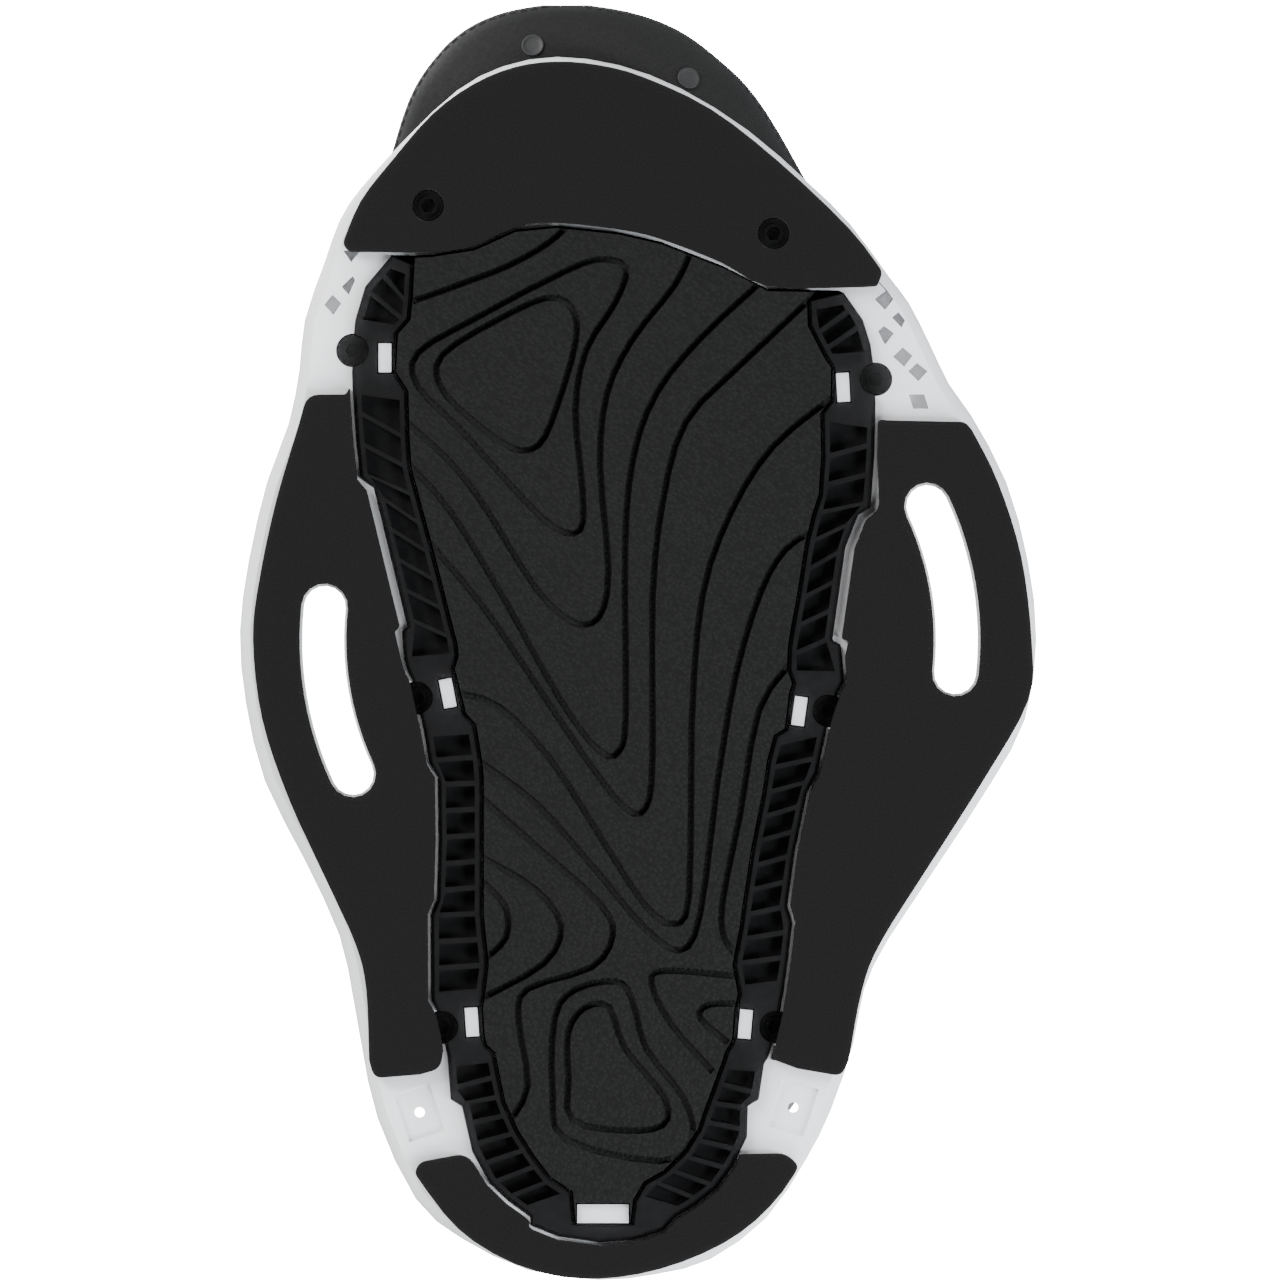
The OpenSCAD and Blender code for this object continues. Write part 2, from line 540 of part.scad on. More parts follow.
open_grooves = [
    [[-54.6, -81.4], [-44.3, -85], [-31.5, -90], [-22, -95.4], [-17, -100]],
    [[-56.4, -52.6], [-45.6, -42.8], [-37, -31.6], [-25, -12.4], [-16, -4.2], [-9.8, -5.6],
     [-7.6, -17], [-9.6, -42], [-8, -59], [-2, -72], [8.4, -85.4], [12.6, -94.4]],
    [[-55.6, -42.2], [-45.6, -31], [-32, -8.8], [-19, 14.6], [-9.6, 26.8], [-5, 26.6],
     [-3.4, 17], [-3.6, -22], [-1.6, -44], [4.1, -59.6], [15, -73], [29, -86]],
    [[-51.6, -24.6], [-38, -8.4], [-26, 9], [-14, 27], [-3.6, 40.4], [1.4, 40.2],
     [3, 28], [3, -10], [5.6, -34], [11, -52.4], [24, -66], [42, -83]],
    [[-44, 12.6], [-34, 16], [-22, 28], [-9, 48], [1, 63.4], [8, 68.2], [11.8, 61],
     [12.4, 20], [15, -10.8], [22, -31], [32, -46.6], [46.6, -58.6]],
    [[-38.6, 29.2], [-25, 39.2], [-12, 53.6], [1, 69], [9.6, 74.6], [14.4, 66], [18.6, 34],
     [23, 8.4], [29, -11.6], [35, -21.8], [42.4, -26.6]],
    [[36.4, 5.4], [28.6, 16.8], [24, 42], [19.8, 63], [20.4, 72], [25, 77.4]],
    [[-38.4, 37.6], [-24, 50.4], [-9.4, 63.6], [-6.6, 71], [-11.6, 78.6], [-27, 83.8],
     [-29.2, 91], [-27, 107], [-31.6, 116]],
    [[-38.4, 52], [-25, 60], [-19, 68.6], [-23, 77.6], [-37.4, 85.8]],
    [[-38, 58], [-32.4, 64], [-32.2, 71.4], [-37, 76.4]],
    [[23.6, 80.8], [6, 79.4], [2.8, 82.6], [7.6, 92.4], [17.6, 103.8]],
    [[24.8, 87.4], [16.6, 87.6], [14.4, 90.8], [21.2, 96.8]]
];
module groove(points) {
    edge_a = line_beside(points, groove_w / 2);
    edge_b = line_beside(points, -groove_w / 2);
    plan(flat([edge_a, reverse(edge_b)]), -1, groove_depth);
}
module ring_groove(points) {
    n = len(points);
    translate([0, 0, -1])
        linear_extrude(groove_depth + 1)
            polygon(
                flat([beside(points, groove_w / 2), beside(points, -groove_w / 2)]),
                [[for (i = [0 : n - 1]) i], [for (i = [0 : n - 1]) n + i]]
            );
}
module outsole() {
    color("#2a2a2b") difference() {
        union() {
            plan(flat([line_beside(cage_inner, -clear), shift(sole_front, [0, 0.6])]), 0, frame_top);
            plan(flat([beside_toe(0.4), [[-52, -84], [38, -80]]]), bridge_top + 0.2, frame_top);
        }
        plan(rail_band(0), -1, frame_top + 1);
        for (s = toe_screw_at) post(s, screw_shank_d + 0.6, 0, 60);
        for (g = closed_grooves) ring_groove(loop_curve(g, 3));
        for (g = open_grooves) groove(curve(g, 3));
        translate([heel_tab[0][0] - clear, heel_tab[0][1] - clear, -1])
            cube([heel_tab[1][0] - heel_tab[0][0] + 2 * clear, 12, 30]);
    }
}
function beside_toe(d) = line_beside([for (p = toe_sole) if (p[1] < -84) p], -d);

// The rail's plan, moved in from both edges
function rail_band(inset) = flat([
    line_beside(cage_outer, -0.2 - inset),
    reverse(line_beside(cage_inner, 0.1 + inset))
]);
// How far along a line of points each point lies, and the point at a share of the line's length
function lengths(p) = [
    for (i = 0, d = 0; i < len(p); d = d + (i < len(p) - 1 ? norm(p[i + 1] - p[i]) : 0), i = i + 1) d
];
function point_at(p, share) = let (l = lengths(p), d = share * l[len(l) - 1]) [
    for (axis = [0, 1]) lookup(d, [for (i = [0 : len(p) - 1]) [l[i], p[i][axis]]])
];

// Open cells on the underside of the cage, between thin ribs that lean by a share of the run
cell_border = 1.9;
cell_rib = 1.3;
lip_h = 1.2;
lip_inset = 0.7;
module cells(run, n, from, to, lean) {
    outer = line_beside([for (s = run) [s[0], s[1]]], -cell_border);
    inner = line_beside([for (s = run) [s[2], s[3]]], cell_border);
    bar = cell_rib / lengths(outer)[len(outer) - 1];
    pitch = (to - from + bar) / n;
    for (k = [0 : n - 1]) {
        a = from + pitch * k;
        b = a + pitch - bar;
        first = k == 0 ? 0 : lean / 2;
        last = k == n - 1 ? 0 : lean / 2;
        plan([
            point_at(inner, a - first), point_at(outer, a + first),
            point_at(outer, b + last), point_at(inner, b - last)
        ], 0, cage_z + cage_pocket);
    }
}

module sole_cage() {
    color("#1a1a1c") difference() {
        union() {
            plan(rail_band(lip_inset), cage_z, cage_z + lip_h);
            plan(rail_band(0), cage_z + lip_h, flange_z - 0.1);
            for (s = cage_screw_at) post(s, screw_head_d - 0.4, screw_z + screw_head_h + 0.1, flange_z - 0.1);
        }
        cells(rail_front_medial, 3, 0.08, 0.56, -0.14);
        cells(rail_side_medial, 9, 0.03, 0.95, -0.06);
        cells(rail_rear_medial, 10, 0.03, 0.97, 0);
        cells(rail_heel_medial, 8, 0.05, 0.95, 0.02);
        cells(rail_heel_lateral, 8, 0.05, 0.95, -0.02);
        cells(rail_rear_lateral, 10, 0.03, 0.97, 0);
        cells(rail_side_lateral, 9, 0.04, 0.97, 0.06);
        cells(rail_front_lateral, 3, 0.46, 0.92, 0.14);
        for (t = tab_at) tab(t, clear, -1, 20);
        for (s = cage_screw_at) post(s, screw_head_d + 0.4, -1, screw_z + screw_head_h + 0.1);
        for (s = cage_screw_at) post(s, screw_shank_d + 0.3, -1, 20);
    }
}

// A flat-topped screw with a raised ring and a hex socket
module screw(at, z, tip) {
    translate([at[0], at[1], z]) difference() {
        union() {
            cylinder(d = screw_head_d, h = screw_head_h);
            cylinder(d = screw_shank_d, h = tip - z);
        }
        translate([0, 0, -1]) cylinder(d = 3.6, h = 2.4, $fn = 6);
        translate([0, 0, -eps]) difference() {
            cylinder(d = screw_head_d - 1.2, h = 0.3);
            cylinder(d = 4.6, h = 1);
        }
    }
}
module toe_screws() {
    color("#161616") for (s = toe_screw_at) screw(s, 0.7, screw_tip_z);
}
module cage_screws() {
    color("#161616") for (s = cage_screw_at) screw(s, screw_z, frame_top - 0.1);
}
module tee_nuts() {
    color("silver") for (s = toe_screw_at)
        difference() {
            union() {
                post(s, 9, nut_z, nut_z + 0.8);
                post(s, 6, nut_z, sole_top);
            }
            post(s, screw_shank_d + 0.1, 0, 30);
        }
}
module midsole() {
    outer = [for (p = line_beside(cage_outer, -1)) if (p[1] > -80) p];
    color("#303032") difference() {
        plan(flat([outer, toe_sole]), midsole_z, sole_top);
        for (s = toe_screw_at) {
            post(s, 6.4, 0, 30);
            post(s, 9.4, 0, nut_z + 1);
        }
    }
}
// Inner sole, which follows the floor of the liner and turns up at its edges
footbed_t = 3.6;
module footbed() {
    rows = steps(4.4, 12.4, 14);
    angles = steps(218, 322, 10);
    top = shell_t + liner_t + 4 * clear;
    color("#3a3d42") slab(
        [for (s = rows) [for (a = angles) skin(s, a, top)]],
        [for (s = rows) [for (a = angles) skin(s, a, top + footbed_t)]]
    );
}

// ---- upper ----
round_n = 36;
function ring_points(s, inset) = [for (j = [0 : round_n - 1]) skin(s, 360 * j / round_n, inset)];
module vamp() {
    rows = steps(0, 1, 12);
    inner_s = 1.3;
    color("#33353a") wall(
        [for (t = rows) ring_points(t * throat_s, 0)],
        [for (t = rows) ring_points(inner_s + t * (throat_s - inner_s), shell_t)],
        true
    );
}
quarter_cols = 32;
function throat_angle(s, c) = let (g = throat(s)) 90 + g + (360 - 2 * g) * c;
module quarters() {
    rows = steps(throat_s + 0.03, cuff_s, 22);
    cols = steps(0, 1, quarter_cols);
    color("#33353a") slab(
        [for (s = rows) [for (c = cols) skin(s, throat_angle(s, c), 0)]],
        [for (s = rows) [for (c = cols) skin(s, throat_angle(s, c), shell_t)]]
    );
}
module toe_bumper() {
    color("#3b3c3f") difference() {
        patch(0.05, 4.6, 168, 372, 0.2, 2.5, 9, 24);
        plan(flat([beside_toe(-0.4), [[-66, -84], [48, -80]]]), 0, sole_top + 0.3);
    }
}
module heel_counter() {
    color("#222326") patch(13.2, 16.4, 208, 332, 0.3, 2.2, 8, 20);
}
// The tongue lies under the throat's edges and reaches past them
tongue_over = 16;
tongue_s0 = 6.2;
tongue_s1 = 19.7;
function tongue_angle(s, c) = let (g = throat(s) + tongue_over) 90 - g + 2 * g * c;
module tongue() {
    rows = steps(tongue_s0, tongue_s1, 20);
    cols = steps(0, 1, 10);
    color("#2b2d31") slab(
        [for (s = rows) [for (c = cols) skin(s, tongue_angle(s, c), shell_t + clear)]],
        [for (s = rows) [for (c = cols) skin(s, tongue_angle(s, c), shell_t + clear + tongue_t)]]
    );
}
// The liner is thinner under the tongue
liner_s1 = 19.5;
liner_cols = 32;
function side_angle(a) = abs(a - 90) > 180 ? 360 - abs(a - 90) : abs(a - 90);
function liner_outset(s, a) = let (
    edge = throat(s) + tongue_over,
    t = min(1, max(0, (side_angle(a) - edge - 12) / 8))
) shell_t + 2 * clear + (s < tongue_s0 - 0.8 ? 0 : (tongue_t + clear) * (1 - t));
module liner() {
    rows = steps(0, 1, 20);
    outer_s = 1.8;
    inner_s = 3.2;
    cols = steps(0, 360 - 360 / liner_cols, liner_cols - 1);
    color("#24262a") wall(
        [for (t = rows) let (s = outer_s + t * (liner_s1 - outer_s))
            [for (a = cols) skin(s, a, liner_outset(s, a))]],
        [for (t = rows) let (s = inner_s + t * (liner_s1 - inner_s))
            [for (a = cols) skin(s, a, shell_t + clear + liner_t)]],
        true
    );
}

// ---- closure ----
eyestay_w = 15;
eyestay_t = 1.8;
eyestay_s = [throat_s + 0.2, 13.6];
module eyestay(side) {
    rows = steps(eyestay_s[0], eyestay_s[1], 16);
    cols = side > 0 ? steps(1, 0, 3) : steps(0, 1, 3);
    color("#18191b") difference() {
        slab(
            [for (s = rows) [for (c = cols) lifted(s, stay_angle(s, c, side), eyestay_t)]],
            [for (s = rows) [for (c = cols) lifted(s, stay_angle(s, c, side), 0.35)]]
        );
        for (s = rivet_s) at_rivet(s, side) cylinder(d = rivet_d + 0.2, h = 6, center = true, $fn = 12);
    }
}
function stay_angle(s, c, side) = 90 - side * (throat(s) + 0.6 + eyestay_w * c);
module eyestay_medial() {
    eyestay(-1);
}
module eyestay_lateral() {
    eyestay(1);
}
guide_s = [7.4, 8.5, 9.7, 11];
guide_r = 3.2;
guide_tube = 1.9;
guide_bore = 0.95;
guide_lift = eyestay_t + guide_tube + 0.3;
function guide_angle(s, side) = 90 - side * (throat(s) + 5);
function guide_at(s, side) = lifted(s, guide_angle(s, side), guide_lift);
// Points of the half ring that one guide leads the wire round, from its upper to its lower mouth
function guide_arc(s, side, n) = let (
    c = guide_at(s, side),
    along = unit(guide_at(s + 0.1, side) - guide_at(s - 0.1, side)),
    away = unit(lifted(s, guide_angle(s, side) - side * 4, guide_lift) - c)
) [for (a = steps(0, 180, n)) c + guide_r * (cos(a) * along + sin(a) * away)];
module wire_guides(side) {
    color("#9a9da3") for (s = guide_s) {
        arc = guide_arc(s, side, 6);
        up = skin_normal(s, guide_angle(s, side));
        wall(path_rings(arc, guide_tube, 10, up), path_rings(arc, guide_bore, 10, up), false);
        patch(s - 0.14, s + 0.14, guide_angle(s, side) - side * 2, guide_angle(s, side) - side * 8,
            eyestay_t + 0.2, eyestay_t + 1, 2, 2);
    }
}
module wire_guides_medial() {
    wire_guides(-1);
}
module wire_guides_lateral() {
    wire_guides(1);
}
rivet_s = [7, 8, 9.1, 10.3, 11.8, 12.8];
rivet_d = 3;
rivet_head_d = 4.8;
rivet_foot = 0.5;
// Children along the outward direction of one rivet, from the boot's surface
module at_rivet(s, side) {
    a = 90 - side * (throat(s) + eyestay_w - 3);
    aim_along(lifted(s, a, 0), skin_normal(s, a)) children();
}
module eyestay_rivets() {
    color("#b9bcc2") for (s = rivet_s, side = [-1, 1]) at_rivet(s, side) {
        translate([0, 0, rivet_foot]) cylinder(d = rivet_d, h = eyestay_t, $fn = 24);
        translate([0, 0, eyestay_t + 0.2]) cylinder(d = rivet_head_d, h = 0.7, $fn = 24);
    }
}
// Turns +Z to direction n and moves to point p
module aim_along(p, n) {
    translate(p) rotate([0, acos(n[2]), atan2(n[1], n[0])]) children();
}

dial_at = [-8.4, 12.9, 173];
dial_exit_x = 7;
dial_exit_z = 158.4;
wire_front_y = dial_at[1] - 3.4;
crossing = 0.95;
function between(a, b, h) = (a + b) / 2 + [0, -h * 0.5, h * 0.85];
last_guide = len(guide_s) - 1;
// One strand from the dial down to the lowest guide, changing sides at each row
function strand_side(first_side, k) = (last_guide - k) % 2 == 0 ? first_side : -first_side;
function strand(first_side, lift) = flat([
    for (k = [last_guide : -1 : 0])
        let (arc = guide_arc(guide_s[k], strand_side(first_side, k), 4))
        k == 0
            ? [arc[0]]
            : concat(arc, [between(arc[4], guide_arc(guide_s[k - 1], strand_side(first_side, k - 1), 4)[0], lift)])
]);
wire_path = flat([
    [dial_at + [-dial_exit_x, -3.4, -9.6], [dial_at[0] - dial_exit_x - 1, wire_front_y, dial_exit_z]],
    strand(-1, crossing),
    [for (i = [1 : 3]) guide_arc(guide_s[0], 1, 4)[i]],
    [guide_arc(guide_s[0], 1, 4)[4]],
    [guide_arc(guide_s[0], -1, 4)[4]],
    [for (i = [3 : -1 : 1]) guide_arc(guide_s[0], -1, 4)[i]],
    reverse(strand(1, -0.1)),
    [[dial_at[0] + dial_exit_x + 1, wire_front_y, dial_exit_z], dial_at + [dial_exit_x, -3.4, -9.6]]
]);
module closure_wire() {
    color("#c8ccd2") rod(path_rings(wire_path, wire_d / 2, 8, [0, -0.7, 0.7]));
}

// The dial's axis points forward, along -Y
module dial_frame() {
    translate(dial_at) rotate([90, 0, 0]) children();
}
base_d = 33;
base_t = 1.6;
drum_floor = 1.6;
drum_top = 6.6;
post_d = 4.9;
post_h = 13;
knob_z = 7.4;
knob_h = 9.2;
screw_seat = post_h + 0.1;
// Dogs on the spool that keep the knob turning with it
dogs = 3;
dog_r = 7.4;
dog_d = 1.8;
dog_h = 9;
module dial_base() {
    color("#1d1e20") dial_frame() difference() {
        union() {
            cylinder(d = base_d, h = base_t);
            cylinder(d = 27, h = drum_top + 0.4);
        }
        translate([0, 0, drum_floor]) difference() {
            cylinder(d = 23, h = 20);
            cylinder(d = post_d, h = post_h - drum_floor);
        }
        for (side = [-1, 1])
            translate([side * dial_exit_x, 0, 3.4])
                rotate([90, 0, 0])
                    cylinder(d = 2.2, h = 30);
    }
    color("#1d1e20") dial_frame() translate([0, 0, drum_floor - eps]) cylinder(d = post_d, h = post_h - drum_floor);
}
module dial_ratchet() {
    teeth = 24;
    color("#2c2d30") dial_frame() translate([0, 0, drum_top - 1.2]) difference() {
        cylinder(d = 22.8, h = 1.5);
        translate([0, 0, -1]) linear_extrude(4) polygon([
            for (k = [0 : 2 * teeth - 1])
                (k % 2 == 0 ? 10.4 : 9.7) * [cos(180 * k / teeth), sin(180 * k / teeth)]
        ]);
    }
}
module dial_spool() {
    color("#46484c") dial_frame() translate([0, 0, drum_floor + 0.2]) difference() {
        union() {
            cylinder(d = 19, h = 0.9);
            cylinder(d = 13, h = 3.2);
            translate([0, 0, 2.4]) cylinder(d = 19, h = 1.1);
            for (k = [0 : dogs - 1])
                rotate([0, 0, 360 * k / dogs]) translate([dog_r, 0, 2.4]) cylinder(d = dog_d, h = dog_h);
        }
        translate([0, 0, -1]) cylinder(d = post_d + 0.1, h = 20);
    }
}
module dial_knob() {
    grips = 20;
    color("#111214") dial_frame() translate([0, 0, knob_z]) difference() {
        union() {
            cylinder(d = knob_d - 2, h = knob_h);
            for (k = [0 : grips - 1])
                rotate([0, 0, 360 * k / grips])
                    translate([knob_d / 2 - 1.2, 0, 0])
                        cylinder(d = 2.4, h = knob_h - 1.4, $fn = 16);
        }
        translate([0, 0, -1]) cylinder(d = 24, h = 3.4);
        translate([0, 0, -1]) cylinder(d = post_d + 0.1, h = 20);
        translate([0, 0, 3.9]) cylinder(d = 11, h = 20);
        for (k = [0 : dogs - 1])
            rotate([0, 0, 360 * k / dogs]) translate([dog_r, 0, -1]) cylinder(d = dog_d + 0.6, h = 8.2);
    }
}
module dial_screw() {
    color("#8d9096") dial_frame() translate([0, 0, screw_seat + knob_travel - 1.4]) difference() {
        cylinder(d = 9, h = 1.8);
        translate([0, 0, 0.8]) cylinder(d = 3, h = 2, $fn = 6);
    }
    color("#8d9096") dial_frame() translate([0, 0, post_h]) cylinder(d = 4, h = 1.4);
}

// ---- power strap ----
strap_s = 18.05;
strap_lift = [2.4, 4.8];
// Half the strap's width in stations, at the front and at the sides of the cuff
strap_half = [0.72, 0.386];
pivot_a = 186;
pin_gap = 6.2;
pin_mid = skin(strap_s, pivot_a) + [-pin_gap, 0, 0];
pin_d = 3.6;
barrel_l = 26;
module strap_pin() {
    color("#a8abb0") translate(pin_mid - [0, 0, barrel_l / 2 + 5]) cylinder(d = pin_d, h = barrel_l + 10);
}
module strap_barrel() {
    color("#17181a") translate(pin_mid) difference() {
        union() {
            cylinder(d = 7.6, h = barrel_l, center = true);
            translate([1.9, -11, 0]) cube([2.2, 22, barrel_l], center = true);
        }
        cylinder(d = pin_d + 0.1, h = barrel_l + 2, center = true);
    }
}
module strap_anchor() {
    color("#17181a") difference() {
        union() {
            for (side = [-1, 1])
                translate(pin_mid + [0, 0, side * (barrel_l / 2 + 2.2)]) {
                    cylinder(d = 8, h = 3.2, center = true);
                    translate([0, -4, -1.6]) cube([side > 0 ? 4.2 : 6.8, 8, 3.2]);
                }
            patch(17.2, 18.9, 170, 193, 0.2, 0.9, 6, 6);
        }
        translate(pin_mid) cylinder(d = pin_d, h = 90, center = true);
    }
}
strap_a = [6, 173];
patch_a = [-8, 46];
// A band of even width round the cuff, between two angles and two lifts
function band_station(t, a, fill) =
    strap_s + t * fill * (strap_half[1] + (strap_half[0] - strap_half[1]) * sin(a) * sin(a));
module band(ends, lifts, fill, na) {
    rows = steps(-1, 1, 4);
    angles = steps(ends[0], ends[1], na);
    slab(
        [for (t = rows) [for (a = angles) lifted(band_station(t, a, fill), a, lifts[1])]],
        [for (t = rows) [for (a = angles) lifted(band_station(t, a, fill), a, lifts[0])]]
    );
}
module power_strap() {
    color("#141517") band(strap_a, strap_lift, 1, 34);
}
module strap_patch() {
    color("#202124") band(patch_a, [0.1, 1.9], 0.86, 12);
}

// ---- pull loops ----
loop_t = 1.8;
loop_w = 18;
module pull_loop(outline, hole) {
    rotate([90, 0, 90]) translate([0, 0, -loop_w / 2]) linear_extrude(loop_w) difference() {
        polygon(curve(outline, 5));
        polygon(curve(hole, 5));
    }
}
module heel_pull_loop() {
    color("#1b1c1f") translate([-7, 0, 0]) pull_loop(
        [[135.6, 205], [138, 216], [142, 230], [147, 246], [157, 251], [162, 240], [156, 222], [146, 208],
         [138.4, 200]],
        [[141.6, 214], [145, 228], [149.6, 243], [156, 247.6], [159.6, 240], [154, 224], [145.4, 211.4]]
    );
}
module tongue_pull_loop() {
    color("#1b1c1f") translate([-7, 0, 0]) pull_loop(
        [[8.8, 230], [4.6, 238], [-3, 249], [-6, 260], [1, 267], [8.8, 261], [8.2, 249], [6.9, 241]],
        [[5.4, 242.5], [-0.6, 250], [-3.8, 259.4], [1, 264.4], [6.8, 259.6], [6.4, 248]]
    );
}

base_frame();
frame_wall();
toe_pad();
side_pad_medial();
side_pad_lateral();
heel_pad();
outsole();
sole_cage();
toe_screws();
cage_screws();
tee_nuts();
midsole();
footbed();
vamp();
quarters();
toe_bumper();
heel_counter();
tongue();
liner();
eyestay_medial();
eyestay_lateral();
eyestay_rivets();
wire_guides_medial();
wire_guides_lateral();
closure_wire();
dial_base();
dial_ratchet();
dial_spool();
dial_knob();
dial_screw();
strap_anchor();
strap_pin();
strap_barrel();
power_strap();
strap_patch();
heel_pull_loop();
tongue_pull_loop();
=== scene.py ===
import math

import bmesh
import bpy
import numpy as np
from mathutils import Matrix, Vector


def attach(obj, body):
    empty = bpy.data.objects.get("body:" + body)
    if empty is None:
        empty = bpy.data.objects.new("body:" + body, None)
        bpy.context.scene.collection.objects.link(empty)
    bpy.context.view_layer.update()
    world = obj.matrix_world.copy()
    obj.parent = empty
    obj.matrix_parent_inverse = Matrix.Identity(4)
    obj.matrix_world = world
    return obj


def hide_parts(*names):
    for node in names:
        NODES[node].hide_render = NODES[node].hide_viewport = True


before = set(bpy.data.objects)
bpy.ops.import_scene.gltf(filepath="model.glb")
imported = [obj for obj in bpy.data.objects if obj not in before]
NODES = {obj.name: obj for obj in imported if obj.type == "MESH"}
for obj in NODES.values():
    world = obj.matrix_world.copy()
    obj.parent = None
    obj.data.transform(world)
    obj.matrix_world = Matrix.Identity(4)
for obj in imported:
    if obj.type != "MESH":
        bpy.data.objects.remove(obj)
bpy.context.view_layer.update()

MM = 0.001
WELD = 0.000004      # vertices nearer than this are one, in metres
CREASE = 32          # edges sharper than this get a bevel, in degrees
STITCH_SIDES = 6


# ---------------------------------------------------------------- materials
class Nodes:
    """A material's node tree, with short calls for what the materials here share."""

    def __init__(self, name, color, rough, **sockets):
        self.material = bpy.data.materials.new(name)
        self.material.use_nodes = True
        self.tree = self.material.node_tree
        self.shader = self.tree.nodes["Principled BSDF"]
        self.shader.inputs["Base Color"].default_value = (*color, 1)
        self.shader.inputs["Roughness"].default_value = rough
        for key, value in sockets.items():
            self.shader.inputs[key.replace("_", " ")].default_value = value
        self.coords = self.add("ShaderNodeTexCoord").outputs["Object"]
        self.height = None

    def add(self, kind, **settings):
        node = self.tree.nodes.new(kind)
        for key, value in settings.items():
            setattr(node, key, value)
        return node

    def link(self, a, b):
        self.tree.links.new(a, b)
        return self

    def noise(self, scale, detail=2.0, rough=0.5, stretch=(1, 1, 1)):
        node = self.add("ShaderNodeTexNoise")
        node.inputs["Scale"].default_value = scale
        node.inputs["Detail"].default_value = detail
        node.inputs["Roughness"].default_value = rough
        self.link(self.placed(stretch), node.inputs["Vector"])
        return node.outputs["Fac"]

    def cells(self, scale, feature="F1", smooth=None):
        node = self.add("ShaderNodeTexVoronoi", feature=feature)
        node.inputs["Scale"].default_value = scale
        if smooth is not None:
            node.inputs["Smoothness"].default_value = smooth
        self.link(self.coords, node.inputs["Vector"])
        return node.outputs["Distance"]

    def waves(self, scale, direction, distortion=0.0):
        node = self.add("ShaderNodeTexWave", bands_direction=direction)
        node.inputs["Scale"].default_value = scale
        node.inputs["Distortion"].default_value = distortion
        self.link(self.coords, node.inputs["Vector"])
        return node.outputs["Fac"]

    def placed(self, stretch):
        """The object's coordinates in metres, scaled along each axis."""
        if stretch == (1, 1, 1):
            return self.coords
        node = self.add("ShaderNodeMapping")
        node.inputs["Scale"].default_value = stretch
        self.link(self.coords, node.inputs["Vector"])
        return node.outputs["Vector"]

    def math(self, kind, a, b):
        node = self.add("ShaderNodeMath", operation=kind)
        for socket, value in zip(node.inputs, (a, b)):
            if isinstance(value, (int, float)):
                socket.default_value = value
            else:
                self.link(value, socket)
        return node.outputs[0]

    def ramp(self, source, stops):
        node = self.add("ShaderNodeValToRGB")
        elements = node.color_ramp.elements
        while len(elements) < len(stops):
            elements.new(0.5)
        for element, (at, value) in zip(elements, stops):
            element.position = at
            element.color = (*value, 1) if hasattr(value, "__len__") else (value, value, value, 1)
        self.link(source, node.inputs["Fac"])
        return node.outputs["Color"]

    def color_by(self, source, stops):
        self.link(self.ramp(source, stops), self.shader.inputs["Base Color"])
        return self

    def rough_by(self, source, low, high):
        node = self.add("ShaderNodeMapRange")
        node.inputs["To Min"].default_value = low
        node.inputs["To Max"].default_value = high
        self.link(source, node.inputs["Value"])
        self.link(node.outputs["Result"], self.shader.inputs["Roughness"])
        return self

    def bump(self, source, depth, strength=1.0):
        """Adds relief of the given depth in metres on top of what is there."""
        node = self.add("ShaderNodeBump")
        node.inputs["Strength"].default_value = strength
        node.inputs["Distance"].default_value = depth
        self.link(source, node.inputs["Height"])
        if self.height is not None:
            self.link(self.height, node.inputs["Normal"])
        self.height = node.outputs["Normal"]
        self.link(self.height, self.shader.inputs["Normal"])
        return self


def nylon(name, color, rough, grain=0.00003):
    n = Nodes(name, color, rough, Specular_IOR_Level=0.45)
    tint = n.noise(90, 3)
    n.color_by(tint, [(0.3, [c * 0.96 for c in color]), (0.7, color)])
    n.rough_by(n.noise(420, 2), rough - 0.06, rough + 0.07)
    return n.bump(n.noise(2600, 2), grain, 0.5).material


def foam(name, dark, light, speck=2400):
    n = Nodes(name, dark, 0.92, Specular_IOR_Level=0.25, Sheen_Weight=0.12, Sheen_Roughness=0.5)
    fine = n.noise(speck, 3, 0.7)
    n.color_by(fine, [(0.38, dark), (0.66, light), (0.78, [c * 1.8 for c in light])])
    n.bump(n.cells(speck * 0.75), 0.00006, 0.5)
    return n.bump(n.noise(160, 2), 0.00008, 0.25).material


def pebbled(name, dark, light, scale=1150, depth=0.00022, rough=0.62, gleam=0.4):
    n = Nodes(name, dark, rough, Specular_IOR_Level=gleam)
    pebble = n.cells(scale, "SMOOTH_F1", 0.35)
    n.color_by(n.math("ADD", pebble, n.math("MULTIPLY", n.noise(60, 3), 0.25)), [(0.2, light), (0.75, dark)])
    n.rough_by(n.noise(700, 2), rough - 0.1, rough + 0.12)
    return n.bump(n.math("SUBTRACT", 1.0, pebble), depth, 0.75).material


def gloss(name, color, rough, coat):
    n = Nodes(name, color, rough, Coat_Weight=coat, Coat_Roughness=0.12, Specular_IOR_Level=0.6)
    n.color_by(n.noise(70, 2), [(0.3, color), (0.75, [c * 1.5 + 0.001 for c in color])])
    n.rough_by(n.noise(500, 3), rough - 0.05, rough + 0.1)
    return n.bump(n.noise(1800, 2), 0.00001, 0.5).material


def metal(name, color, rough):
    n = Nodes(name, color, rough, Metallic=1.0)
    n.color_by(n.noise(300, 3), [(0.3, [c * 0.8 for c in color]), (0.7, color)])
    n.rough_by(n.noise(900, 3, stretch=(1, 1, 12)), rough - 0.08, rough + 0.1)
    return n.bump(n.noise(3000, 2, stretch=(1, 1, 10)), 0.00001, 0.5).material


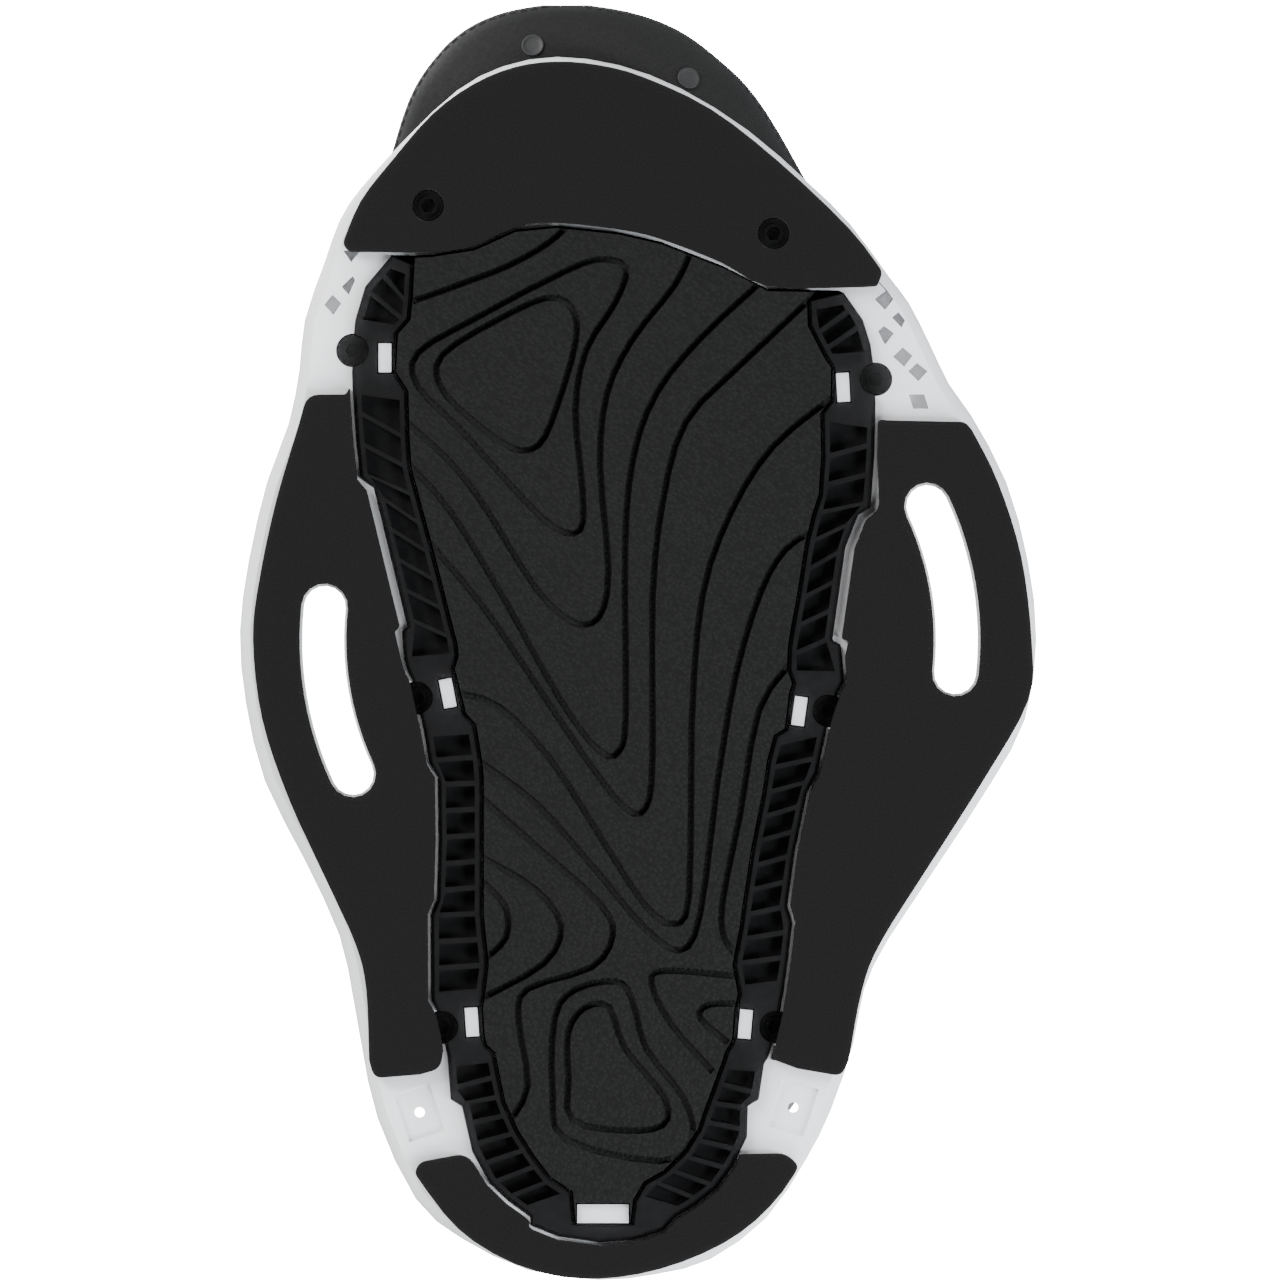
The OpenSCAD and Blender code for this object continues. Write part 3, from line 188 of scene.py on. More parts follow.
def leather(name, color, light, scale=520, depth=0.00016, rough=0.52):
    n = Nodes(name, color, rough, Specular_IOR_Level=0.42, Sheen_Weight=0.05)
    grain = n.cells(scale, "SMOOTH_F1", 0.5)
    n.color_by(n.math("ADD", n.noise(35, 4), n.math("MULTIPLY", grain, 0.3)), [(0.35, color), (0.8, light)])
    n.rough_by(n.noise(240, 3), rough - 0.1, rough + 0.12)
    n.bump(n.math("SUBTRACT", 1.0, grain), depth, 0.6)
    return n.bump(n.noise(28, 3), 0.0008, 0.18).material


def knit(name, color, light, pitch=900, depth=0.0002):
    n = Nodes(name, color, 0.9, Specular_IOR_Level=0.2, Sheen_Weight=0.25, Sheen_Roughness=0.4)
    across = n.waves(pitch, "X")
    along = n.waves(pitch, "DIAGONAL")
    weave = n.math("MULTIPLY", across, along)
    n.color_by(n.math("ADD", n.math("MULTIPLY", weave, 0.7), n.math("MULTIPLY", n.noise(300, 3), 0.35)),
               [(0.15, color), (0.8, light)])
    n.bump(weave, depth, 0.7)
    return n.bump(n.noise(1400, 2), 0.00006, 0.4).material


def webbing(name, color, light, pitch=420):
    n = Nodes(name, color, 0.82, Specular_IOR_Level=0.25, Sheen_Weight=0.2)
    ribs = n.waves(pitch, "Z", 0.4)
    cross = n.waves(pitch * 1.3, "DIAGONAL", 0.2)
    weave = n.math("ADD", n.math("MULTIPLY", ribs, 0.6), n.math("MULTIPLY", cross, 0.4))
    n.color_by(weave, [(0.2, color), (0.85, light)])
    n.bump(weave, 0.00028, 0.8)
    return n.bump(n.noise(1800, 3), 0.00005, 0.5).material


M_WHITE = nylon("white_nylon", (0.90, 0.905, 0.915), 0.4)
M_EVA = foam("eva_foam", (0.0045, 0.0041, 0.0042), (0.0098, 0.0089, 0.0092))
M_OUTSOLE = pebbled("outsole_rubber", (0.0040, 0.0040, 0.0040), (0.0105, 0.0105, 0.0104), gleam=0.3)
M_CAGE = gloss("cage_gloss", (0.0070, 0.0070, 0.0074), 0.3, 0.25)
M_SCREW = gloss("black_oxide", (0.004, 0.004, 0.004), 0.22, 0.3)
M_STEEL = metal("steel", (0.62, 0.63, 0.65), 0.3)
M_WIRE = metal("coated_wire", (0.5, 0.52, 0.55), 0.34)
M_BUMPER = pebbled("bumper_rubber", (0.0105, 0.0104, 0.0102), (0.0155, 0.0153, 0.0150),
                   scale=2600, depth=0.00003, rough=0.72, gleam=0.2)
M_MARK = gloss("moulded_mark", (0.0085, 0.0085, 0.009), 0.6, 0.0)
M_MIDSOLE = foam("midsole_foam", (0.020, 0.020, 0.021), (0.034, 0.034, 0.036), 1800)
M_SHELL = leather("shell_leather", (0.016, 0.017, 0.019), (0.030, 0.031, 0.035))
M_PANEL = leather("panel_leather", (0.009, 0.009, 0.010), (0.020, 0.020, 0.022), 760, 0.0001, 0.44)
M_ACCENT = leather("accent_leather", (0.50, 0.51, 0.53), (0.62, 0.63, 0.66), 640, 0.00008, 0.46)
M_COUNTER = nylon("counter_plastic", (0.014, 0.014, 0.015), 0.36, 0.00005)
M_TONGUE = knit("tongue_mesh", (0.012, 0.012, 0.014), (0.038, 0.039, 0.043), 760)
M_LINER = knit("liner_knit", (0.010, 0.010, 0.012), (0.030, 0.031, 0.036), 1100, 0.00012)
M_FOOTBED = knit("footbed_knit", (0.028, 0.030, 0.034), (0.060, 0.063, 0.070), 900, 0.00012)
M_THREAD = webbing("thread", (0.075, 0.077, 0.082), (0.15, 0.152, 0.16), 2600)
M_DARK_THREAD = webbing("dark_thread", (0.006, 0.006, 0.007), (0.016, 0.016, 0.018), 2600)
M_STRAP = webbing("strap_webbing", (0.008, 0.008, 0.009), (0.026, 0.026, 0.029), 380)
M_HOOK = knit("hook_tape", (0.010, 0.010, 0.011), (0.032, 0.032, 0.035), 1500, 0.0003)
M_GUIDE = nylon("guide_plastic", (0.16, 0.165, 0.175), 0.36)
M_DIAL = nylon("dial_plastic", (0.010, 0.010, 0.011), 0.38, 0.00004)
M_SPOOL = nylon("spool_plastic", (0.07, 0.07, 0.075), 0.42)


# ---------------------------------------------------------------- mesh helpers
def smooth(mesh, material):
    """Gives a mesh one material and smooth shading."""
    mesh.materials.clear()
    mesh.materials.append(material)
    for polygon in mesh.polygons:
        polygon.use_smooth = True


def add_piece(name, mesh, material, body):
    """Adds a mesh as a piece that rides on a body."""
    smooth(mesh, material)
    obj = bpy.data.objects.new(name, mesh)
    bpy.context.scene.collection.objects.link(obj)
    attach(obj, body)
    return obj


def new_piece(name, verts, faces, material, body):
    """A piece from vertices in metres and faces."""
    mesh = bpy.data.meshes.new(name)
    mesh.from_pydata([tuple(v) for v in verts], [], faces)
    mesh.validate()
    return add_piece(name, mesh, material, body)


def bevel(obj, width, segments=3, angle=35):
    mod = obj.modifiers.new("Bevel", "BEVEL")
    mod.width = width
    mod.segments = segments
    mod.limit_method = "ANGLE"
    mod.angle_limit = math.radians(angle)


def weighted(obj):
    mod = obj.modifiers.new("WeightedNormal", "WEIGHTED_NORMAL")
    mod.keep_sharp = True


def keep_node(name, material, width=0.0003, segments=2, flat=1.0):
    """A CAD node that stays in view, with softened edges and its own material."""
    obj = NODES[name]
    smooth(obj.data, material)
    weld = obj.modifiers.new("Weld", "WELD")
    weld.merge_threshold = WELD
    if flat:
        merge = obj.modifiers.new("Planar", "DECIMATE")
        merge.decimate_type = "DISSOLVE"
        merge.angle_limit = math.radians(flat)
    if width:
        bevel(obj, width, segments, CREASE)
    weighted(obj)


def remade(name, node, material, body, width, segments=3, angle=35):
    """A piece made from the shape of a soft CAD node, with rounded edges."""
    mesh = NODES[node].data.copy()
    bm = bmesh.new()
    bm.from_mesh(mesh)
    bmesh.ops.remove_doubles(bm, verts=bm.verts, dist=WELD)
    bmesh.ops.dissolve_limit(bm, angle_limit=math.radians(1), verts=bm.verts, edges=bm.edges)
    sharp = [e for e in bm.edges if len(e.link_faces) == 2 and e.calc_face_angle(0) > math.radians(angle)]
    bmesh.ops.bevel(bm, geom=sharp, offset=width, segments=segments, profile=0.5, affect="EDGES",
                    clamp_overlap=True)
    bm.to_mesh(mesh)
    bm.free()
    obj = add_piece(name, mesh, material, body)
    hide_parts(node)
    weighted(obj)
    return obj


def pull_in(obj, start, reach):
    """Draws the part of a piece behind start forward, so that it ends at reach; both are y in metres."""
    far = max(v.co.y for v in obj.data.vertices)
    for v in obj.data.vertices:
        if v.co.y > start and far > reach:
            v.co.y = start + (v.co.y - start) * (reach - start) / (far - start)


# ---------------------------------------------------------------- the boot's surface, as in the CAD model
# Stations from toe tip to cuff: front y, z, back y, z, half width, centre x, heel ratio, squareness
STATIONS = np.array([
    [-150.8, 28, -150.8, 22, 5, -18, 1, 2.2],
    [-149, 35, -149, 17.4, 15, -17.5, 1, 2.2],
    [-145.4, 42, -145.4, 14.6, 24, -16.6, 1, 2.5],
    [-139.5, 49, -139.5, 13, 31.6, -15.6, 1, 3],
    [-130, 55.5, -130, 12.4, 39.5, -13.8, 1, 4],
    [-114, 63, -114, 12.4, 47, -11.4, 1, 4],
    [-95, 71, -95, 12.4, 54, -9, 1, 4],
    [-68, 84, -68, 12.4, 58.5, -6.5, 1, 4],
    [-38, 99, -42, 12.4, 56, -5.8, 1, 4],
    [-14, 117, -10, 12.4, 51, -5, 1, 4],
    [1, 133, 26, 12.4, 47, -5, 0.96, 4],
    [7, 145, 66, 12.4, 45, -6.2, 0.88, 4],
    [9.5, 153, 98, 12.4, 44, -7.4, 0.8, 4],
    [10.5, 159, 123, 14, 43.4, -8, 0.74, 3.6],
    [11, 165, 136.5, 28, 43, -8.4, 0.74, 3],
    [11.5, 172, 141.5, 56, 44, -8.6, 0.8, 2.6],
    [12, 182, 139, 94, 46, -8.4, 0.9, 2.4],
    [11, 195, 133, 136, 49, -8, 1, 2.3],
    [9, 212, 133, 182, 52.5, -7.4, 1, 2.2],
    [6, 230, 138, 234, 56, -7, 1, 2.2],
    [3, 246, 142, 251, 58, -6.8, 1, 2.2],
])
LAST = len(STATIONS) - 1
FRONT, BACK = slice(0, 2), slice(2, 4)
BACK_Y, HALF_W, MID_X, HEEL_RATIO, SQUARE = 2, 4, 5, 6, 7
TOP_SQUARENESS = 2.2
SHELL_T = 3.0
CLEAR = 0.3
TONGUE_T = 4.0
LINER_T = 6.0
THROAT_S = 6.5
CUFF_S = 19.0


def station(s):
    """The measures at a station, along a smooth curve through the table's rows."""
    s = np.asarray(s, float)
    i = np.clip(np.floor(s).astype(int), 0, LAST - 1)
    t = (s - i)[..., None]
    a, b = STATIONS[np.maximum(i - 1, 0)], STATIONS[i]
    c, d = STATIONS[i + 1], STATIONS[np.minimum(i + 2, LAST)]
    square = (2 * a - 5 * b + 4 * c - d) * t * t
    cube = (3 * b - a - 3 * c + d) * t ** 3
    return 0.5 * (2 * b + (c - a) * t + square + cube)


def sign_pow(v, e):
    """Raises the size of v to a power and keeps its sign."""
    return np.sign(v) * np.abs(v) ** e


def skin(s, a, inset=0.0):
    """Points of the boot's surface in mm; angle 90 is the front, 270 the sole or back."""
    s, a = np.broadcast_arrays(np.asarray(s, float), np.asarray(a, float))
    q = station(s)
    front, back = q[..., FRONT], q[..., BACK]
    half = np.linalg.norm(front - back, axis=-1) / 2
    up = (front - back) / (2 * half)[..., None]
    sin, cos = np.sin(np.radians(a)), np.cos(np.radians(a))
    n = np.where(sin > 0, TOP_SQUARENESS, q[..., SQUARE])
    v = sign_pow(sin, 2 / n)
    t = np.minimum(1, 1 + v)
    ratio = q[..., HEEL_RATIO] + (1 - q[..., HEEL_RATIO]) * t * t * (3 - 2 * t)
    x = q[..., MID_X] + (q[..., HALF_W] - inset) * ratio * sign_pow(cos, 2 / n)
    c = (front + back) / 2 + up * (v * (half - inset))[..., None]
    return np.concatenate([x[..., None], c], axis=-1)


def skin_normal(s, a):
    """Outward unit normals of the boot's surface."""
    ds = skin(np.minimum(np.asarray(s) + 0.05, LAST), a) - skin(np.maximum(np.asarray(s) - 0.05, 0), a)
    da = skin(s, np.asarray(a) + 1) - skin(s, np.asarray(a) - 1)
    n = np.cross(ds, da)
    return n / np.linalg.norm(n, axis=-1, keepdims=True)


def lifted(s, a, h):
    """Points h mm above the boot's surface."""
    h = np.asarray(h, float)
    return skin(s, a) + h[..., None] * skin_normal(s, a)


def throat(s):
    """Half the angle of the opening over the tongue, which widens upward."""
    low, wider, over_stations = 14, 12, 6
    return low + wider * np.clip((np.asarray(s, float) - THROAT_S) / over_stations, 0, 1)


def slab_mesh(outer, inner, ring=False):
    """Vertices and faces of a solid between two grids of points; ring closes the columns on themselves."""
    rows, cols = outer.shape[:2]
    m = rows * cols
    verts = np.concatenate([outer.reshape(-1, 3), inner.reshape(-1, 3)]) * MM
    at = lambda i, j: i * cols + j % cols
    steps = cols if ring else cols - 1
    faces = []
    for i in range(rows - 1):
        for j in range(steps):
            a, b, c, d = at(i, j), at(i, j + 1), at(i + 1, j + 1), at(i + 1, j)
            faces += [(a, b, c, d), (m + a, m + d, m + c, m + b)]
    for j in range(steps):
        a, b = at(0, j), at(0, j + 1)
        c, d = at(rows - 1, j), at(rows - 1, j + 1)
        faces += [(a, m + a, m + b, b), (c, d, m + d, m + c)]
    if not ring:
        for i in range(rows - 1):
            a, b = at(i, 0), at(i + 1, 0)
            c, d = at(i, cols - 1), at(i + 1, cols - 1)
            faces += [(a, b, m + b, m + a), (c, m + c, m + d, d)]
    return verts, faces


def grid(ns, na):
    """Two arrays that run from 0 to 1, down the rows and along the columns."""
    return np.linspace(0, 1, ns)[:, None] * np.ones(na), np.ones(ns)[:, None] * np.linspace(0, 1, na)


def panel(name, place, lifts, material, body="boot", ns=24, na=40, edge=0.5, crown=0.0,
          replaces=()):
    """A panel on the boot's surface. place(u, v) gives stations and angles. lifts are the heights of its
    underside and top over the surface, edge rounds it and crown swells its middle, all in mm."""
    u, v = grid(ns, na)
    s, a = place(u, v)
    swell = crown * (4 * u * (1 - u)) ** 0.4 * (4 * v * (1 - v)) ** 0.4
    verts, faces = slab_mesh(lifted(s, a, lifts[1] + swell), lifted(s, a, lifts[0] * np.ones_like(s)))
    obj = new_piece(name, verts, faces, material, body)
    if edge:
        bevel(obj, edge * MM, 3, 40)
    weighted(obj)
    if replaces:
        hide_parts(*replaces)
    return obj


def span(a, b):
    """A function that goes from a to b as its argument goes from 0 to 1."""
    return lambda t: a + (b - a) * t


def capsule(length, radius, sides=STITCH_SIDES):
    """A stitch's own shape along X, as vertices and faces."""
    rings = [(-0.5, 0.35), (-0.38, 0.9), (0, 1.0), (0.38, 0.9), (0.5, 0.35)]
    verts, faces = [], []
    for t, r in rings:
        for k in range(sides):
            w = 2 * math.pi * k / sides
            verts.append((t * length, math.cos(w) * radius * r, math.sin(w) * radius * r))
    for i in range(len(rings) - 1):
        for k in range(sides):
            a, b = i * sides + k, i * sides + (k + 1) % sides
            faces.append((a, b, b + sides, a + sides))
    faces.append(tuple(range(sides))[::-1])
    faces.append(tuple(range((len(rings) - 1) * sides, len(rings) * sides)))
    return np.array(verts), faces


def stitches(name, points, normals, material, slot, body="boot", pitch=3.4, length=2.4, radius=0.33):
    """A row of stitches along a line of points in mm, each lying in the surface."""
    points, normals = np.asarray(points, float), np.asarray(normals, float)
    steps = np.linalg.norm(np.diff(points, axis=0), axis=1)
    along = np.concatenate([[0], np.cumsum(steps)])
    count = max(2, int(along[-1] / pitch))
    shape, shape_faces = capsule(length, radius)
    verts, faces = [], []
    for k in range(count):
        d = (k + 0.5) * along[-1] / count
        p = np.array([np.interp(d, along, points[:, c]) for c in range(3)])
        q = np.array([np.interp(d + 0.5, along, points[:, c]) for c in range(3)])
        o = np.array([np.interp(d - 0.5, along, points[:, c]) for c in range(3)])
        n = np.array([np.interp(d, along, normals[:, c]) for c in range(3)])
        t = (q - o) / np.linalg.norm(q - o)
        n = n - t * n.dot(t)
        n /= np.linalg.norm(n)
        side = np.cross(n, t)
        base = len(verts)
        verts += [tuple((p + t * v[0] + side * v[1] + n * v[2]) * MM) for v in shape]
        faces += [tuple(base + i for i in f) for f in shape_faces]
    return new_piece(name, verts, faces, material, body)


def seam(name, place, lift, count=80, **kw):
    """Stitches along place(t) -> (station, angle), on top of something lift mm thick."""
    t = np.linspace(0, 1, count)
    s, a = place(t)
    return stitches(name, lifted(s, a, lift * np.ones_like(t)), skin_normal(s, a), **kw)


# ---------------------------------------------------------------- sole
def sole_pieces():
    keep_node("base_frame", M_WHITE, 0.00035, 2)
    keep_node("frame_wall", M_WHITE, 0.0004, 2)
    keep_node("sole_cage", M_CAGE, 0.00028, 2)
    keep_node("outsole", M_OUTSOLE, 0.00025, 2)
    keep_node("toe_screws", M_SCREW, 0.00022, 2)
    keep_node("cage_screws", M_SCREW, 0.00022, 2)
    keep_node("tee_nuts", M_STEEL, 0.0001, 1)
    keep_node("midsole", M_MIDSOLE, 0.0004, 2)
    for node in ("toe_pad", "side_pad_medial", "side_pad_lateral", "heel_pad"):
        pad = remade(node + "_foam", node, M_EVA, "boot", 0.00045)
    footbed = remade("footbed_foam", "footbed", M_FOOTBED, "boot", 0.0014, 4)


# ---------------------------------------------------------------- toe
WIDEST_S = 8
OUTLINE_S = 5.2
BUMPER_LIFT = 2.5
BUMPER_S = (0.05, 5.4)
BUMPER_A = (168, 372)
TOE_STITCH_IN = 0.7
TOE_MARKS = ((-25.6, -142.4), (11, -134.4))
MARK_R = 2.7
MARK_H = 0.5


def under_toe(x, y):
    """Station and angle of the toe's underside above a plan point, in mm."""
    table = np.linspace(0, WIDEST_S, 400)
    ys = station(table)[:, BACK_Y]
    s = np.interp(y, ys, table)
    q = station(s)
    side = (x - q[..., MID_X]) / q[..., HALF_W]
    cos = np.clip(np.abs(side), 0, 1) ** (q[..., SQUARE] / 2)
    a = np.degrees(np.arccos(cos))
    return s, np.where(side < 0, 180 + a, 360 - a)


def toe_outline(inset):
    """Outline of the toe from above, moved inward, from the big-toe side round the tip, in mm."""
    q = station(np.linspace(OUTLINE_S, 0.0, 60))
    left = np.stack([q[:, MID_X] - q[:, HALF_W], q[:, BACK_Y]], axis=1)
    right = np.stack([q[:, MID_X] + q[:, HALF_W], q[:, BACK_Y]], axis=1)[::-1]
    line = np.concatenate([left, right])
    d = np.gradient(line, axis=0)
    d /= np.linalg.norm(d, axis=1, keepdims=True)
    return line + inset * np.stack([-d[:, 1], d[:, 0]], axis=1)


def toe_pieces():
    place = lambda u, v: (span(*BUMPER_S)(u), span(*BUMPER_A)(v))
    panel("toe_bumper_cap", place, (0.2, BUMPER_LIFT), M_BUMPER, ns=44, na=110, edge=0.9,
          replaces=("toe_bumper",))
    line = toe_outline(TOE_STITCH_IN)
    s, a = under_toe(line[:, 0], line[:, 1])
    points = lifted(s, a, (BUMPER_LIFT + 0.02) * np.ones_like(s))
    stitches("toe_bumper_stitches", points, skin_normal(s, a), M_DARK_THREAD, "bumper_rubber",
             pitch=2.6, length=1.9, radius=0.3)
    for k, (x, y) in enumerate(TOE_MARKS):
        s, a = under_toe(np.array(x), np.array(y))
        at = lifted(s, a, np.array(BUMPER_LIFT - 0.1))
        disc(f"toe_mark_{k + 1}", at, skin_normal(s, a), MARK_R, MARK_H, M_MARK)


def disc(name, at, normal, radius, height, material, sides=40):
    """A low round boss with a dished middle, its axis along normal, on the boot."""
    profile = [(0.5, 0.55), (0.78, 0.7), (0.86, 1.0), (0.95, 1.0), (1.0, 0.8), (1.0, 0.0)]
    turn = Vector(normal).to_track_quat("Z", "Y")
    verts, faces = [], []
    for r, h in profile:
        for k in range(sides):
            w = 2 * math.pi * k / sides
            v = turn @ Vector((radius * r * math.cos(w), radius * r * math.sin(w), height * h))
            verts.append((np.array(at) + np.array(v)) * MM)
    rings = len(profile)
    for i in range(rings - 1):
        for k in range(sides):
            a, b = i * sides + k, i * sides + (k + 1) % sides
            faces.append((a, a + sides, b + sides, b))
    faces.append(tuple(range(sides)))
    faces.append(tuple(range((rings - 1) * sides, rings * sides))[::-1])
    return new_piece(name, verts, faces, material, "boot")


# ---------------------------------------------------------------- upper
def ring_shell(name, outer_s, inner_s, top, outset, inset, material, slot, rows, cols, edge):
    """A closed-toe sock between two surfaces, open at its top station."""
    a = np.linspace(0, 360, cols, endpoint=False)
    t = np.linspace(0, 1, rows)
    so = (outer_s + t * (top - outer_s))[:, None] * np.ones(cols)
    si = (inner_s + t * (top - inner_s))[:, None] * np.ones(cols)
    angles = np.ones(rows)[:, None] * a
    outer = skin(so, angles, outset(so, angles))
    inner = skin(si, angles, inset * np.ones_like(si))
    verts, faces = slab_mesh(outer, inner, ring=True)
    # A cap closes each surface at the toe, in place of the rim that joins them there
    m = rows * cols
    toe_rim = {(j, m + j, m + (j + 1) % cols, (j + 1) % cols) for j in range(cols)}
    faces = [f for f in faces if f not in toe_rim]
    faces += [tuple(range(cols))[::-1], tuple(range(m, m + cols))]
    obj = new_piece(name, verts, faces, material, "boot")
    bevel(obj, edge * MM, 4, 50)
    weighted(obj)
    return obj


TONGUE_OVER = 16
TONGUE_S = (6.2, 19.7)
LINER_CLEAR_A = 12
LINER_BLEND_A = 8
VAMP_INNER_S = 1.3
LINER_S = (1.8, 3.2, 19.5)
CHANNELS = 2.2
CHANNEL_DEPTH = 0.9
EDGE_FROM = 0.86
EDGE_DROP = 1.6


def liner_outset(s, a):
    """Depth of the liner's outside below the boot's surface, deeper where it lies under the tongue."""
    side = np.abs(a - 90)
    side = np.where(side > 180, 360 - side, side)
    t = np.clip((side - throat(s) - TONGUE_OVER - LINER_CLEAR_A) / LINER_BLEND_A, 0, 1)
    under = np.where(s < TONGUE_S[0] - 0.8, 0, (TONGUE_T + CLEAR) * (1 - t))
    return SHELL_T + 2 * CLEAR + under


def upper_pieces():
    flat = lambda s, a: np.zeros_like(s)
    vamp = ring_shell("vamp_shell", 0.0, VAMP_INNER_S, THROAT_S, flat, SHELL_T, M_SHELL, "shell_leather",
                      44, 110, 0.5)
    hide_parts("vamp")

    u, v = grid(120, 110)
    s = span(THROAT_S + 0.03, CUFF_S)(u)
    g = throat(s)
    a = 90 + g + (360 - 2 * g) * v
    verts, faces = slab_mesh(skin(s, a), skin(s, a, SHELL_T * np.ones_like(s)))
    quarters = new_piece("quarters_shell", verts, faces, M_SHELL, "boot")
    bevel(quarters, 0.9 * MM, 3, 45)
    weighted(quarters)
    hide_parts("quarters")

    liner = ring_shell("liner_foam", *LINER_S, liner_outset, SHELL_T + 2 * CLEAR + LINER_T, M_LINER,
                       "liner_foam", 70, 96, 2.4)
    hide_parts("liner")
    tongue_piece()
    overlays()


def tongue_piece():
    u, v = grid(90, 40)
    s = span(*TONGUE_S)(u)
    g = throat(s) + TONGUE_OVER
    a = 90 - g + 2 * g * v
    # Quilted channels across the tongue, and edges that thin out
    across = np.abs(2 * v - 1)
    ridge = np.abs(np.sin(np.pi * (s - TONGUE_S[0]) * CHANNELS)) ** 0.35
    inside = np.clip(1.9 - 3.2 * across, 0, 1)
    shaped = SHELL_T + CLEAR + CHANNEL_DEPTH * (1 - ridge) * inside
    edge = np.clip((across - EDGE_FROM) / (1 - EDGE_FROM), 0, 1) ** 2 * EDGE_DROP
    outer = skin(s, a, shaped + edge)
    inner = skin(s, a, SHELL_T + CLEAR + TONGUE_T - edge * 0.6)
    verts, faces = slab_mesh(outer, inner)
    tongue = new_piece("tongue_padded", verts, faces, M_TONGUE, "boot")
    bevel(tongue, 0.7 * MM, 3, 45)
    weighted(tongue)
    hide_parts("tongue")


def mirrored(a, side):
    """Angle on the lateral side (1) or the medial side (-1), counted from the front."""
    return 90 - side * a


EYESTAY_W = 15
EYESTAY_T = 1.8
EYESTAY_S = (THROAT_S + 0.2, 13.6)
EYESTAY_GAP = 0.6
EYESTAY_STITCH_IN = 1.6
ANKLE_A = (17, 118)
RAND_S = (5.3, 13.0)
RAND_A = (108, 137)
RAND_SEAM_S = (5.6, 12.9)
RAND_SEAM_A = 111.0
FLASH_S = (15.25, 17.0)
COUNTER_S = (13.2, 16.4)
COUNTER_A = (208, 332)
HEEL_RIBS_S = ((14.5, 14.72), (15.0, 15.2), (15.5, 15.68))
HEEL_RIBS_A = (228, 312)
COLLAR_S0 = 18.45
VAMP_BAND_S = (6.25, 6.72)
VAMP_BAND_A = (-62, 242)
BACK_STAY_S = (16.5, 18.4)
BACK_STAY_A = (258, 282)
PANEL_LIFT = (0.05, 1.3)


